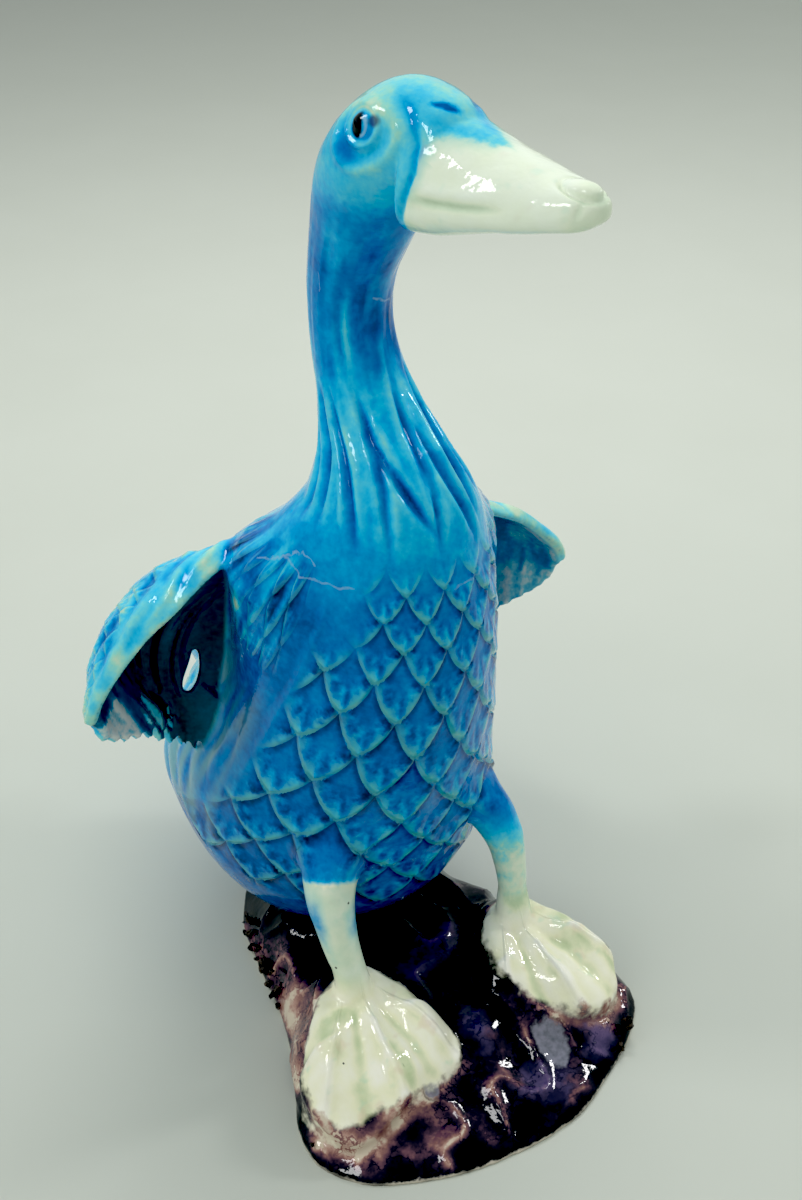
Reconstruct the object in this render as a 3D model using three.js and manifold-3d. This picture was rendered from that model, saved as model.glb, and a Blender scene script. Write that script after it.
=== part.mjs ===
// A glazed porcelain duck standing on a rockwork base, cast and fired as one piece.
// Millimetres, +Z up. The duck faces -Y, its left side is +X, and it rests on the flat
// underside of the base, with the origin there, under the point midway between its ankles.
import * as THREE from 'three';
import { mergeVertices } from 'three/addons/utils/BufferGeometryUtils.js';
import Module from 'manifold-3d';

const wasm = await Module();
wasm.setup();

const { PI, sin, cos, abs, sign, min, max, hypot, round } = Math;
const DEG = PI / 180;
const { lerp, clamp, smoothstep: smooth } = THREE.MathUtils;
const V3 = (x, y, z) => new THREE.Vector3(x, y, z);

// ---- the trunk, from belly to forehead: its front and back profile as [y, z], its half width, and
// how it slims towards the back, as the share lost and the depth from which it goes
const TRUNK = [
  { front: [28.4, 10], back: [44.8, 6], half: 14.2 },      // underside, on the rock
  { front: [21.8, 12.3], back: [67.5, 14], half: 24.3, slim: [0.12, 0.45] },
  { front: [16, 18.4], back: [83, 26.7], half: 30.9, slim: [0.3, 0.42] },     // belly
  { front: [10.4, 28], back: [91.3, 42.3], half: 34.5, slim: [0.45, 0.62] },
  { front: [6.4, 41.5], back: [91.3, 58.6], half: 34.8, slim: [0.42, 0.54] },  // where the legs leave it
  { front: [2.9, 57.9], back: [83.3, 74.4], half: 31.7, slim: [0.46, 0.3] },
  { front: [-0.4, 75.9], back: [69.7, 89], half: 27, slim: [0.42, 0.3] },     // breast
  { front: [-2.3, 94.3], back: [54.7, 102], half: 22.7, slim: [0.3, 0.3] },
  { front: [-1.5, 111.1], back: [42.3, 113.3], half: 19, slim: [0.1, 0.3] }, // shoulders
  { front: [1.6, 124.2], back: [34.7, 122.6], half: 15.9 },
  { front: [8.1, 133], back: [33.3, 130.6], half: 11.8 },    // foot of the neck
  { front: [16, 139.6], back: [36.2, 138.9], half: 9.2 },
  { front: [21.8, 146], back: [38.8, 148.6], half: 8 },
  { front: [24.7, 153.5], back: [39.3, 159.5], half: 7.6 },// neck
  { front: [23.3, 162.3], back: [37.7, 171.2], half: 8.2 },
  { front: [18, 172.4], back: [34.6, 183.4], half: 9.8 },  // throat and nape
  { front: [14.8, 178.4], back: [29.6, 190.8], half: 11.2 },
  { front: [11.6, 181.1], back: [23.6, 196.3], half: 10.8 },
  { front: [8.9, 182.2], back: [17.5, 199.1], half: 10 },  // crown
  { front: [6.3, 182.7], back: [11.7, 198.8], half: 8.7 },
  { front: [3.9, 183.6], back: [6, 197.3], half: 7.2 },    // forehead
  { front: [2.4, 186], back: [2.8, 194], half: 4.4 },
];
const HEAD_YAW = 12 * DEG;   // the head looks a little to the duck's left
const HEAD_AXIS_Y = 31;      // the neck's axis, about which it turns
const HEAD_TURN_Z = [128, 172];

// ---- feathers carved in the trunk
const SCALES_ROUND = 16;                                     // scales in a whole turn
const SCALE_TIPS = [24, 32, 39.5, 46.5, 54.5, 64, 74, 84, 93, 100.5, 107, 113]; // along the breast
const SCALE_PROUD = 1;
const PANEL_EDGE = 63 * DEG;                                 // the breast's scales end here
const BAND_EDGE = 86 * DEG;                                  // and a smooth band ends here
const BACK_FROM = 105 * DEG;                                 // beyond this the carving is softer and coarser
const FLUTES = [                                             // neck grooves: angle and height along the breast
  { top: [-95, 149], foot: [-81, 125] },
  { top: [-73, 149], foot: [-47, 126] },
  { top: [-43, 150], foot: [-31, 122] },
  { top: [-36, 145], foot: [-4, 121] },
  { top: [5, 150], foot: [1, 124] },
  { top: [17, 141], foot: [25, 122] },
  { top: [45, 149], foot: [41, 128] },
  { top: [72, 149], foot: [60, 126] },
  { top: [100, 149], foot: [82, 125] },
];
const FLUTE_DEEP = 0.9;

// ---- the bill: stations forward of the face
const BILL = [
  { y: 8.8, low: 177.2, top: 196.3, half: 10.6 },
  { y: 3.1, low: 178.2, top: 195, half: 10.3 },
  { y: -2.6, low: 179.8, top: 193.7, half: 9.7 },
  { y: -8.1, low: 181.6, top: 192.8, half: 8.9 },
  { y: -13.4, low: 183.2, top: 192, half: 7.8 },
  { y: -18, low: 184.6, top: 191.6, half: 6.3 },
  { y: -21.8, low: 185.5, top: 191.4, half: 4.4 },
  { y: -23.9, low: 187, top: 191, half: 2.2 },
];

const EYE = { at: [8.7, 17.8, 193], r: [1.6, 2.6, 2.3] };   // across, along and up, each side of the head
const NAIL = { at: [0, -20, 190.9], r: [2.4, 3.8, 1.5] };   // the horny bead at the bill's tip

// ---- the tail, short and blunt, behind the rump
const TAIL = [
  { at: [0, 62, 56], wide: 17, high: 19 },
  { at: [0, 78, 56], wide: 18, high: 16.5 },
  { at: [0, 91, 56], wide: 17, high: 9 },
  { at: [0, 100, 58], wide: 13, high: 5 },
  { at: [0, 105, 60], wide: 9, high: 3 },
];

// ---- the legs, each from inside the belly down into its foot
const LEG = [
  { at: [14, 17, 47], r: 6.5 },
  { at: [18.5, 12, 43.5], r: 5.9 },
  { at: [21, 7.5, 37.5], r: 5 },
  { at: [21.2, 3.6, 29.5], r: 4 },
  { at: [20.4, 0.8, 21.5], r: 3.7 },
  { at: [19.6, -1, 13], r: 5 },
];

// ---- the feet: webbed fans, laid over the rock by hand and so not quite alike, as [x, y] outlines
const FEET = [
  [[-17, 5], [-23, 4], [-27.5, 2], [-32, -2.5], [-36.8, -7.5], [-39, -13], [-38.6, -19.5], [-35.5, -25], [-28.6, -26],
    [-18, -23.5], [-10, -21.8], [-5.4, -18.5], [-5.2, -12], [-9.2, -5], [-12.5, 1.5]],
  [[20, 5], [16.5, 4], [13, 1.5], [10.8, -3], [10.5, -9.5], [14, -17], [19.9, -23], [26.7, -24.5], [33.2, -21.8],
    [35.6, -16.5], [34, -11], [31, -5], [27, 1], [23.5, 4]],
];
const FOOT_PROUD = 1.7;
const TOE_SPREAD = 34 * DEG;

// ---- the wings: the four edges of a cupped shell
const WING = {
  lead: [[8, 34, 112], [19, 36, 109.5], [29.5, 35.5, 105], [38, 34.5, 100], [44, 35.5, 95], [50, 36, 88.5], [54, 36.5, 83], [56, 37.5, 78]],
  trail: [[27.5, 38, 64], [33, 42, 61.5], [38, 43.5, 64], [44, 40.5, 69], [50, 39.5, 71], [54.5, 39, 74]],
  root: [[8, 34, 112], [14, 42, 105], [22, 47.5, 96], [30, 49, 86], [32, 47, 75], [27.5, 38, 64]],
  bulge: [7.7, 3.4],    // the duck's right wing is fuller than its left
  droop: [0, 5.5],       // and its left hangs a little lower
  thick: 2.8,
  feathers: 11,
};
// a drop-shaped slot beside the root of each wing, as [x, z] at y = 47, and the way it runs
const SLOT = [[29.7, 82], [29.1, 79.2], [29.2, 75.4], [30.2, 72.2], [31.8, 70.2], [33.4, 71.2], [33, 73.9], [31.3, 77.6]];
const SLOT_Y = 47;
const SLOT_RUN = V3(-0.39, 1, -0.8);

// ---- the rock: its outline on the ground as [x, y] points, and its heights
const ROCK = [
  [0, -40.6], [11, -39.5], [21, -35], [31, -29.5], [38.5, -22], [39.5, -13], [35, -3], [29, 8], [26, 19],
  [21, 31], [18, 44], [11, 56], [0, 61], [-12, 59], [-20, 52], [-25.5, 43], [-28.5, 30], [-30, 18],
  [-33, 6], [-37, -4], [-41, -13], [-41.5, -22], [-36, -30.5], [-26, -36], [-14, -39.6],
];

const trunkCurves = ['front', 'back'].map((edge) => curveOf(TRUNK.map((s) => V3(s.half, ...s[edge]))));
const slimCurve = curveOf(TRUNK.map((s) => V3(...(s.slim ?? [0, 0.3]), 0)));

function curveOf(points) {
  return new THREE.CatmullRomCurve3(points, false, 'catmullrom', 0.5);
}

function middle(points) {
  return points.reduce((sum, p) => sum.add(p), V3(0, 0, 0)).divideScalar(points.length);
}

// A closed solid through rings of equally many points, with a point closing each end.
function loft(rings, start = middle(rings[0]), end = middle(rings.at(-1))) {
  const n = rings[0].length;
  const points = [start, ...rings.flat(), end];
  const index = [];
  const at = (ring, side) => 1 + ring * n + (side % n);
  for (let j = 0; j < n; j++) {
    index.push(0, at(0, j + 1), at(0, j));
    index.push(points.length - 1, at(rings.length - 1, j), at(rings.length - 1, j + 1));
  }
  for (let i = 0; i + 1 < rings.length; i++)
    for (let j = 0; j < n; j++) {
      const [a, b, c, d] = [at(i, j), at(i, j + 1), at(i + 1, j), at(i + 1, j + 1)];
      if ((i + j) % 2) index.push(a, b, c, b, d, c);
      else index.push(a, b, d, a, d, c);
    }
  const geometry = new THREE.BufferGeometry();
  const flat = points.flatMap((p) => p.toArray());
  geometry.setAttribute('position', new THREE.Float32BufferAttribute(flat, 3));
  geometry.setIndex(index);
  return solid(geometry);
}

// A closed geometry as a manifold solid, turned the right way out.
function solid(geometry) {
  const merged = mergeVertices(geometry, 1e-4);
  const order = [[0, 1, 2], [0, 2, 1]];
  const [made, turned] = order.map((o) => new wasm.Manifold(new wasm.Mesh({
    numProp: 3,
    vertProperties: merged.attributes.position.array,
    triVerts: merged.index.array.map((v, i, all) => all[i - (i % 3) + o[i % 3]]),
  })));
  return made.volume() > 0 ? made : turned;
}

function geometryOf(manifold) {
  const mesh = manifold.getMesh();
  const geometry = new THREE.BufferGeometry();
  geometry.setAttribute('position', new THREE.Float32BufferAttribute(mesh.vertProperties, 3));
  geometry.setIndex(Array.from(mesh.triVerts));
  geometry.computeVertexNormals();
  return geometry;
}

function turnHead(p) {
  const turn = HEAD_YAW * smooth(p.z, ...HEAD_TURN_Z);
  const dy = p.y - HEAD_AXIS_Y;
  return V3(p.x * cos(turn) - dy * sin(turn), HEAD_AXIS_Y + p.x * sin(turn) + dy * cos(turn), p.z);
}

// A point of the smooth trunk: t runs from belly to forehead, angle from the middle of the breast.
function trunkPoint(t, angle) {
  const [low, high] = trunkCurves.map((curve) => curve.getPoint(t));
  const k = (1 - cos(angle)) / 2;
  const slim = slimCurve.getPoint(t);
  const wide = low.x * (1 - slim.x * smooth(k, slim.y, 0.95));
  return turnHead(V3(wide * sin(angle), lerp(low.y, high.y, k), lerp(low.z, high.z, k)));
}

// The trunk's parameter at each millimetre along the middle of the breast.
const alongBreast = (() => {
  const steps = 1500;
  const lengths = [0];
  let last = trunkPoint(0, 0);
  for (let i = 1; i <= steps; i++) {
    const p = trunkPoint(i / steps, 0);
    lengths.push(lengths.at(-1) + p.distanceTo(last));
    last = p;
  }
  return (length) => {
    const i = lengths.findIndex((l) => l > length);
    return i < 0 ? 1 : (i - (lengths[i] - length) / (lengths[i] - lengths[i - 1])) / steps;
  };
})();

// How far a node of the scales stands out, and how far up its half row it lies. Each scale rises
// to its pointed lower edge and steps down there; step counts quarter scales round the trunk,
// row counts half rows up it.
function scaleNode(step, row) {
  const across = floorMod(step + ((Math.floor(row / 2) + 1) % 2) * 2, 4);
  const onTips = [[1, 0], [0.05, 0.72], [0.42, 0], [0.05, 0.72]];
  const between = [[0.72, 0], [0.85, 0], [0, 0.62], [0.85, 0]];
  return (row % 2 ? between : onTips)[across];
}

function floorMod(a, n) {
  return ((a % n) + n) % n;
}

function fluteDepth(angle, length) {
  let deepest = 0;
  for (const { top, foot } of FLUTES) {
    const f = (top[1] - length) / (top[1] - foot[1]);
    if (f < -0.1 || f > 1.1) continue;
    const at = lerp(top[0], foot[0], f);
    const wide = lerp(11, 5, clamp(f, 0, 1));
    const off = (angle / DEG - at) / wide;
    deepest = max(deepest, Math.exp(-off * off) * smooth(f, -0.1, 0.15) * (1 - smooth(f, 0.75, 1.1)));
  }
  return FLUTE_DEEP * deepest;
}

function trunk() {
  const quarter = (2 * PI) / SCALES_ROUND / 4;
  const steps = [];
  for (let s = 0; s < SCALES_ROUND * 4; s++) {
    const turned = s * quarter;
    if (abs(turned - PI) > PI - BACK_FROM || s % 2 === 0) steps.push(s);
  }
  const lengths = [1, 6, 12, 18].map((l) => ({ l }));
  SCALE_TIPS.forEach((tip, r) => {
    lengths.push({ l: tip, row: 2 * r });
    const next = SCALE_TIPS[r + 1];
    if (next) lengths.push({ l: (tip + next) / 2, row: 2 * r + 1 });
  });
  for (let l = 117.5; l < 176; l += l < 150 ? 4 : 4.6) lengths.push({ l });
  for (let l = 179; l < 204.6; l += 2.6) lengths.push({ l });
  const rings = lengths.map(({ l, row }, i) => steps.map((s) => {
    const angle = s * quarter;
    const signed = angle > PI ? angle - 2 * PI : angle;
    const [proud, raised] = row === undefined ? [0, 0] : scaleNode(s, row);
    const scaled = abs(signed) < PANEL_EDGE || abs(signed) > BAND_EDGE;
    const behind = abs(signed) > BACK_FROM;
    const t = alongBreast(scaled && raised && !behind ? lerp(l, lengths[i + 1].l, raised) : l);
    const p = trunkPoint(t, angle);
    const around = trunkPoint(t, angle + 0.02).sub(trunkPoint(t, angle - 0.02));
    const up = trunkPoint(min(t + 0.004, 1), angle).sub(trunkPoint(max(t - 0.004, 0), angle));
    const out = around.cross(up).normalize();
    let relief = 0;
    if (row !== undefined && scaled) relief = SCALE_PROUD * (behind ? 0.5 : 1) * (proud - 0.5);
    else if (l > 115 && l < 152) relief = 0.4 - fluteDepth(signed, l);
    return p.addScaledVector(out, relief);
  }));
  return loft(rings);
}

function bill() {
  const lows = curveOf(BILL.map((s) => V3(s.half, s.y, s.low)));
  const tops = curveOf(BILL.map((s) => V3(s.half, s.y, s.top)));
  const sides = 20;
  const count = 14;
  const rings = Array.from({ length: count }, (_, i) => {
    const low = lows.getPoint(i / (count - 1));
    const high = tops.getPoint(i / (count - 1));
    const seam = lerp(low.z, high.z, 0.34);
    return Array.from({ length: sides }, (__, j) => {
      const a = (2 * PI * j) / sides;
      const under = cos(a) < 0;
      const x = low.x * sign(sin(a)) * abs(sin(a)) ** (under ? 0.6 : 0.9);
      const z = under ? seam - (seam - low.z) * abs(cos(a)) ** 0.7 : seam + (high.z - seam) * cos(a);
      return turnHead(V3(x, low.y, z));
    });
  });
  return loft(rings);
}

// An egg-shaped lump on the head, turned with it.
function lump({ at, r }, side = 1) {
  const geometry = new THREE.SphereGeometry(1, 9, 6);
  const points = geometry.attributes.position;
  for (let i = 0; i < points.count; i++) {
    const p = V3(side * at[0], at[1], at[2]).add(
      V3(points.getX(i) * r[0], points.getY(i) * r[1], points.getZ(i) * r[2]));
    points.setXYZ(i, ...turnHead(p).toArray());
  }
  geometry.deleteAttribute('normal');
  geometry.deleteAttribute('uv');
  return solid(geometry);
}

// A bar of oval section along stations of { at, r } or { at, wide, high }.
function bar(stations, sides, count, side = 1) {
  const line = curveOf(stations.map((s) => V3(side * s.at[0], s.at[1], s.at[2])));
  const sizes = curveOf(stations.map((s) => V3(s.wide ?? s.r, s.high ?? s.r, 0)));
  const rings = Array.from({ length: count }, (_, i) => {
    const p = line.getPoint(i / (count - 1));
    const ahead = line.getTangent(i / (count - 1));
    const size = sizes.getPoint(i / (count - 1));
    const across = V3(1, 0, 0).addScaledVector(ahead, -ahead.x).normalize();
    const out = ahead.clone().cross(across);
    return Array.from({ length: sides }, (__, j) => {
      const a = (2 * PI * j) / sides;
      return p.clone().addScaledVector(across, size.x * cos(a)).addScaledVector(out, size.y * sin(a));
    });
  });
  return loft(rings);
}

// A mound: rings of an outline drawn in towards its middle, over a flat underside.
function mound(outline, centre, shares, height, floor) {
  const rings = shares.map((share) => outline.map((p) => {
    const x = lerp(centre.x, p.x, share);
    const y = lerp(centre.y, p.y, share);
    return V3(x, y, height(x, y, share));
  }));
  rings.push(outline.map((p) => V3(p.x, p.y, floor)));
  return loft(rings, V3(centre.x, centre.y, height(centre.x, centre.y, 0)), V3(centre.x, centre.y, floor));
}

function ringOf(points, count) {
  const ring = new THREE.CatmullRomCurve3(points.map(([x, y]) => V3(x, y, 0)), true, 'centripetal');
  return Array.from({ length: count }, (_, i) => ring.getPoint(i / count));
}

// The rock's height: a lobe under each foot, sloping forward, a valley between and a saddle behind.
function rockHeight(x, y) {
  const ahead = clamp((4 - y) / 30, 0, 1);
  const off = hypot((abs(x) - 22) / 19, (y + 9) / 23);
  const lobe = lerp(18.5, 9.5, ahead) * (1 - smooth(off, 0.55, 1.35));
  const saddle = lerp(11.5, 6.5, ahead);
  const lumps = sin(0.33 * x + 0.9) * sin(0.29 * y + 0.4) + 0.6 * sin(0.61 * x - 0.35 * y);
  return max(lobe, saddle) + 0.5 * lumps;
}

function foot(side) {
  const outline = ringOf(FEET[side < 0 ? 0 : 1], 28);
  const centre = middle(outline);
  const height = (x, y, share) => {
    const bearing = Math.atan2((x - centre.x * 0.85) * side, 4 - y) - 6 * DEG;
    const toe = 0.5 + 0.5 * cos((clamp(bearing / TOE_SPREAD, -1, 1)) * 2 * PI);
    return rockHeight(x, y) + FOOT_PROUD * (1 - share ** 6) + 1.1 * toe * smooth(-y, -2, 8) * (1 - 0.5 * share ** 4);
  };
  return mound(outline, centre, [0.25, 0.5, 0.72, 0.9, 1], height, 2);
}

function rock() {
  const height = (x, y, share) => {
    const steep = lerp(10, 4.5, smooth(-y, 4, 30));
    return rockHeight(x, y) * (1 - 0.86 * share ** steep);
  };
  return mound(ringOf(ROCK, 60), V3(0, 10, 0), [0.15, 0.3, 0.44, 0.57, 0.68, 0.78, 0.87, 0.94, 1], height, 0);
}

// A wing: a cupped shell between its four edges, feathered behind and hollow in front.
function wing(side) {
  const [lead, trail, root] = ['lead', 'trail', 'root'].map((edge) => curveOf(WING[edge].map((p) => V3(...p))));
  const tip = [lead.getPoint(1), trail.getPoint(1)];
  const patch = (u, v) => {
    const across = lead.getPoint(u).lerp(trail.getPoint(u), v);
    const down = root.getPoint(v).lerp(tip[0].clone().lerp(tip[1], v), u);
    const corners = root.getPoint(0).lerp(root.getPoint(1), v).lerp(tip[0].clone().lerp(tip[1], v), u);
    const which = side < 0 ? 0 : 1;
    const swell = smooth(u, 0.08, 0.36) * (1 - 0.74 * smooth(u, 0.5, 1));
    const cup = WING.bulge[which] * sin(PI * v ** 0.7) ** 0.7 * swell;
    const fall = WING.droop[which] * (1 - u) * (1 - v);
    return across.add(down).sub(corners).add(V3(0.08 * cup, 0.78 * cup, 0.6 * cup - fall));
  };
  const spans = 2 * WING.feathers;
  const chords = 6;
  const rings = [];
  for (let i = 0; i <= spans; i++) {
    const u = i / spans;
    const quill = i % 2 ? 0.85 : -0.55;
    const outer = [];
    const inner = [];
    for (let k = 0; k <= chords; k++) {
      const v = k / chords;
      const p = patch(u, v);
      const along = patch(min(u + 0.01, 1), v).sub(patch(max(u - 0.01, 0), v));
      const down = patch(u, min(v + 0.01, 1)).sub(patch(u, max(v - 0.01, 0)));
      const out = down.cross(along).normalize();
      if (k === chords) p.add(V3(0, 0, quill * -1.6));
      const relief = quill * smooth(v, 0.2, 0.6);
      const half = (WING.thick / 2) * (k === 0 ? 0.7 : k === chords ? 0.4 : 1) * (1 + 0.9 * (1 - u) ** 4);
      outer.push(p.clone().addScaledVector(out, half + relief));
      inner.push(p.clone().addScaledVector(out, -half));
    }
    rings.push([...outer, ...inner.reverse()].map((p) => V3(side * p.x, p.y, p.z)));
  }
  return loft(rings);
}

// The tool that opens the slot.
function slot(side) {
  const rings = [-7, 9].map((run) => SLOT.map(([x, z]) => V3(x, SLOT_Y, z).addScaledVector(SLOT_RUN, run))
    .map((p) => V3(side * p.x, p.y, p.z)));
  return loft(rings);
}

let duck = trunk().add(bill()).add(lump(NAIL)).add(bar(TAIL, 14, 7)).add(rock());
for (const side of [-1, 1]) {
  duck = duck.add(bar(LEG, 12, 9, side)).add(foot(side)).add(wing(side).subtract(slot(side)));
  duck = duck.add(lump(EYE, side));
}
duck = duck.simplify(0.1);

const glaze = new THREE.MeshStandardMaterial({ color: 0x1285b8, roughness: 0.12, metalness: 0 });
const figure = new THREE.Mesh(geometryOf(duck), glaze);
figure.name = 'duck_figurine';
const part = new THREE.Group();
part.add(figure);
export default part;
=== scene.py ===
"""Looks of a glazed porcelain duck standing on its rock: one fired piece under three glazes.

Sizes and places are in millimetres and degrees until the meshes are made. The duck faces -Y, its
left side is +X and it stands on z = 0. Each shape is worked out from the same named sizes as the
solids; the carving is then pressed into one closed skin.
"""

import math
from functools import partial, partialmethod

import bpy
import numpy as np
from numpy import array, clip, cos, hypot, interp, linspace, maximum, minimum, radians, sin, stack, where
from numpy.linalg import norm
from mathutils import Matrix, Vector
from mathutils.bvhtree import BVHTree
from mathutils.kdtree import KDTree


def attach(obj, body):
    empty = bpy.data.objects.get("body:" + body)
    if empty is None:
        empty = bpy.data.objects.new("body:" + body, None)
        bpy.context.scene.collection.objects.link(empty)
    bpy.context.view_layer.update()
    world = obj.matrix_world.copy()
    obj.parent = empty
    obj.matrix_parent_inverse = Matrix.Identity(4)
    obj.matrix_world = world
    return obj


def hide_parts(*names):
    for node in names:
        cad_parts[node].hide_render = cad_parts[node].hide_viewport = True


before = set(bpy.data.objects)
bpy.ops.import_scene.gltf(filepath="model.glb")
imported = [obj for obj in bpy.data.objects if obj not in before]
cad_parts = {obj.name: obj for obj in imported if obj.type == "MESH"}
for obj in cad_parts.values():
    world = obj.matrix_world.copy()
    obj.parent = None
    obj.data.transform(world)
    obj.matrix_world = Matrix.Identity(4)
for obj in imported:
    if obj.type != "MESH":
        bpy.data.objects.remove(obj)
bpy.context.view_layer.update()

MM = 0.001
SKIN_VOXEL = 0.5      # first grain of the skin
SKIN_TRIANGLES = 192000

# ---- the trunk: front y, z; back y, z; half width; share lost towards the back and where from
TRUNK = [
    (28.4, 10, 44.8, 6, 14.2, 0, 0.3),           # underside, on the rock
    (21.8, 12.3, 67.5, 14, 24.3, 0.12, 0.45),
    (16, 18.4, 83, 26.7, 30.9, 0.3, 0.42),       # belly
    (10.4, 28, 91.3, 42.3, 34.5, 0.45, 0.62),
    (6.4, 41.5, 91.3, 58.6, 34.8, 0.42, 0.54),   # where the legs leave it
    (2.9, 57.9, 83.3, 74.4, 31.7, 0.46, 0.3),
    (-0.4, 75.9, 69.7, 89, 27, 0.42, 0.3),       # breast
    (-2.3, 94.3, 54.7, 102, 22.7, 0.3, 0.3),
    (-1.5, 111.1, 42.3, 113.3, 19, 0.1, 0.3),    # shoulders
    (1.6, 124.2, 34.7, 122.6, 15.9, 0, 0.3),
    (8.1, 133, 33.3, 130.6, 11.8, 0, 0.3),       # foot of the neck
    (16, 139.6, 36.2, 138.9, 9.2, 0, 0.3),
    (21.8, 146, 38.8, 148.6, 8, 0, 0.3),
    (24.7, 153.5, 39.3, 159.5, 7.6, 0, 0.3),     # neck
    (23.3, 162.3, 37.7, 171.2, 8.2, 0, 0.3),
    (18, 172.4, 34.6, 183.4, 9.8, 0, 0.3),       # throat and nape
    (14.8, 178.4, 29.6, 190.8, 11.2, 0, 0.3),
    (11.6, 181.1, 23.6, 196.3, 10.8, 0, 0.3),
    (8.9, 182.2, 17.5, 199.1, 10, 0, 0.3),       # crown
    (6.3, 182.7, 11.7, 198.8, 8.7, 0, 0.3),
    (3.9, 183.6, 6, 197.3, 7.2, 0, 0.3),         # forehead
    (2.4, 186, 2.8, 194, 4.4, 0, 0.3),
]
THROAT_Z = 174      # head and bill lie above it
KNEE_Z = 60         # the legs lie below it
HEAD_YAW = 12
HEAD_AXIS_Y = 31
HEAD_TURN_Z = (128, 172)

# how far the shoulders swell beyond that, at lengths up the breast, and where round the body
SHOULDER = [(58, 0), (72, 2.0), (84, 6.5), (94, 10.5), (103, 12.5), (110, 9.5), (117, 4.5), (126, 0)]
SHOULDER_AT = (110, 27)
FLANK_HOLLOW = (-5, 142, 18, 52, 15)    # depth; where round and how wide; where along and how long

# ---- feathers of the breast: tips of their rows along its middle, and their spacing round it
SCALE_TIPS = [24, 32, 39.5, 46.5, 54.5, 64, 74, 84, 93, 100.5, 107, 113, 119]
SCALE_ANGLE = 22.5
SCALE_PROUD = 0.9
NECK_FLUTES = [     # top angle, top height; foot angle, foot height; half width in mm; depth
    (-99, 149, -83, 124, 1.0, 0.8),
    (-77, 150, -57, 122, 1.0, 1.0),
    (-43, 150, -31, 121, 1.0, 1.0),
    (-39, 145, -5, 124, 1.0, 1.1),
    (6, 150, -2, 121, 0.9, 0.9),
    (18, 144, 27, 120, 1.0, 1.0),
    (45, 152, 41, 124, 1.0, 1.0),
    (72, 149, 60, 126, 1.0, 0.9),
    (100, 149, 82, 125, 1.0, 0.8),
    (-120, 147, -104, 124, 1.0, 0.7),
    (128, 147, 108, 124, 1.0, 0.7),
    (150, 150, 140, 126, 1.1, 0.6),
    (-150, 150, -140, 126, 1.1, 0.6),
]
NECK_RADIUS = ([110, 125, 140, 155, 172], [22, 16, 10.5, 9, 10])      # how far up, and its radius there
NECK_RIDGES = [(-50, 152, -35, 122), (-30, 147, -22, 140), (30, 150, 34, 126), (-84, 150, -64, 124), (8, 163, -9, 140),
               (-38, 143, -34, 121), (12, 141, -3, 126)]

# lighter and darker marks of the neck and shoulder: where round, where up, half width, half height, change
NECK_MARKS = [(-44, 162, 0.8, 7, -0.3), (-58, 158, 0.8, 5, -0.18), (-97.7, 97.3, 0.9, 2.2, -0.5), (25, 164, 5, 5, 0.16),
              (-20, 166, 3, 6, 0.12), (-30, 131, 1.2, 6, -0.14), (-75, 158, 2, 6, 0.1), (-15, 152, 1.6, 5, 0.12)]

# ---- bill stations: y, low z, top z, half width
BILL = [
    (8.8, 177.2, 196.3, 10.6), (3.1, 178.2, 195, 10.3), (-2.6, 179.8, 193.7, 9.7),
    (-8.1, 181.6, 192.8, 8.9), (-13.4, 183.2, 192, 7.8), (-18, 184.6, 191.6, 6.3),
    (-21.8, 185.5, 191.4, 4.4), (-23.9, 187, 191, 2.2),
]
BILL_SEAM = 0.34      # how far up the bill its two halves meet
EYE = ((8.7, 17.8, 193), (1.7, 2.7, 2.3))
LID_REACH = (3.3, 2.5)      # of the carved lids, in y and z
# the painted eye from its side: middle y and z, and reach, of the lids, pupil, glint and dark corner
LIDS = ((17.4, 193.2), (3.0, 2.3))
PUPIL = ((18.3, 193.1), (1.5, 2.2))
GLINT = ((17.6, 193.2), (1.7, 1.9))
EYE_CORNER = ((15.2, 194.4), (1.3, 1.0))
NAIL = ((0, -20, 190.9), (2.4, 3.8, 1.5))
NAIL_GROOVE = (2.75, 4.1)      # reach of the groove round the nail, in x and y
NOSTRIL_AT = (6.6, 2.0)        # y, and how far out it lies
NOSTRIL_REACH = (2.3, 0.8)
# outlines on the side of the head, y and z: the eye's socket, and where the blue glaze stops on the cheek
SOCKET = [(22, 195), (18.5, 196.4), (13.8, 195.8), (10.6, 193.7), (11, 190.6), (15, 187.2), (19, 186.4), (23, 189),
          (24, 192.4)]
CHEEK_LINE = [(15, 199), (12.6, 197.6), (8.9, 195.4), (6.9, 192.7), (5.7, 188.9), (7.1, 184), (8.2, 180.5)]
# where the blue glaze runs out on top of the bill: y, and its half width there
RIDGE_HALF = ([-6, -4.3, -2.4, -1.1, 1.1, 2.9, 4.3, 5.6, 8, 10], [-1, 1.2, 2.0, 2.6, 3.8, 5.2, 6.1, 7.2, 9, 10.5])

# ---- tail and legs: centre, half width, half height
TAIL = [(0, 62, 56, 17, 19), (0, 78, 56, 18, 16.5), (0, 91, 56, 17, 9), (0, 100, 58, 13, 5), (0, 105, 60, 9, 3)]
LEG = [
    (14, 17, 47, 6.5, 6.5), (18.5, 12, 43.5, 5.9, 5.9), (21, 7.5, 37.5, 5, 5),
    (21.2, 3.6, 29.5, 4, 4), (20.4, 0.8, 21.5, 3.7, 3.7), (19.6, -1, 13, 5, 5),
]

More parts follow.
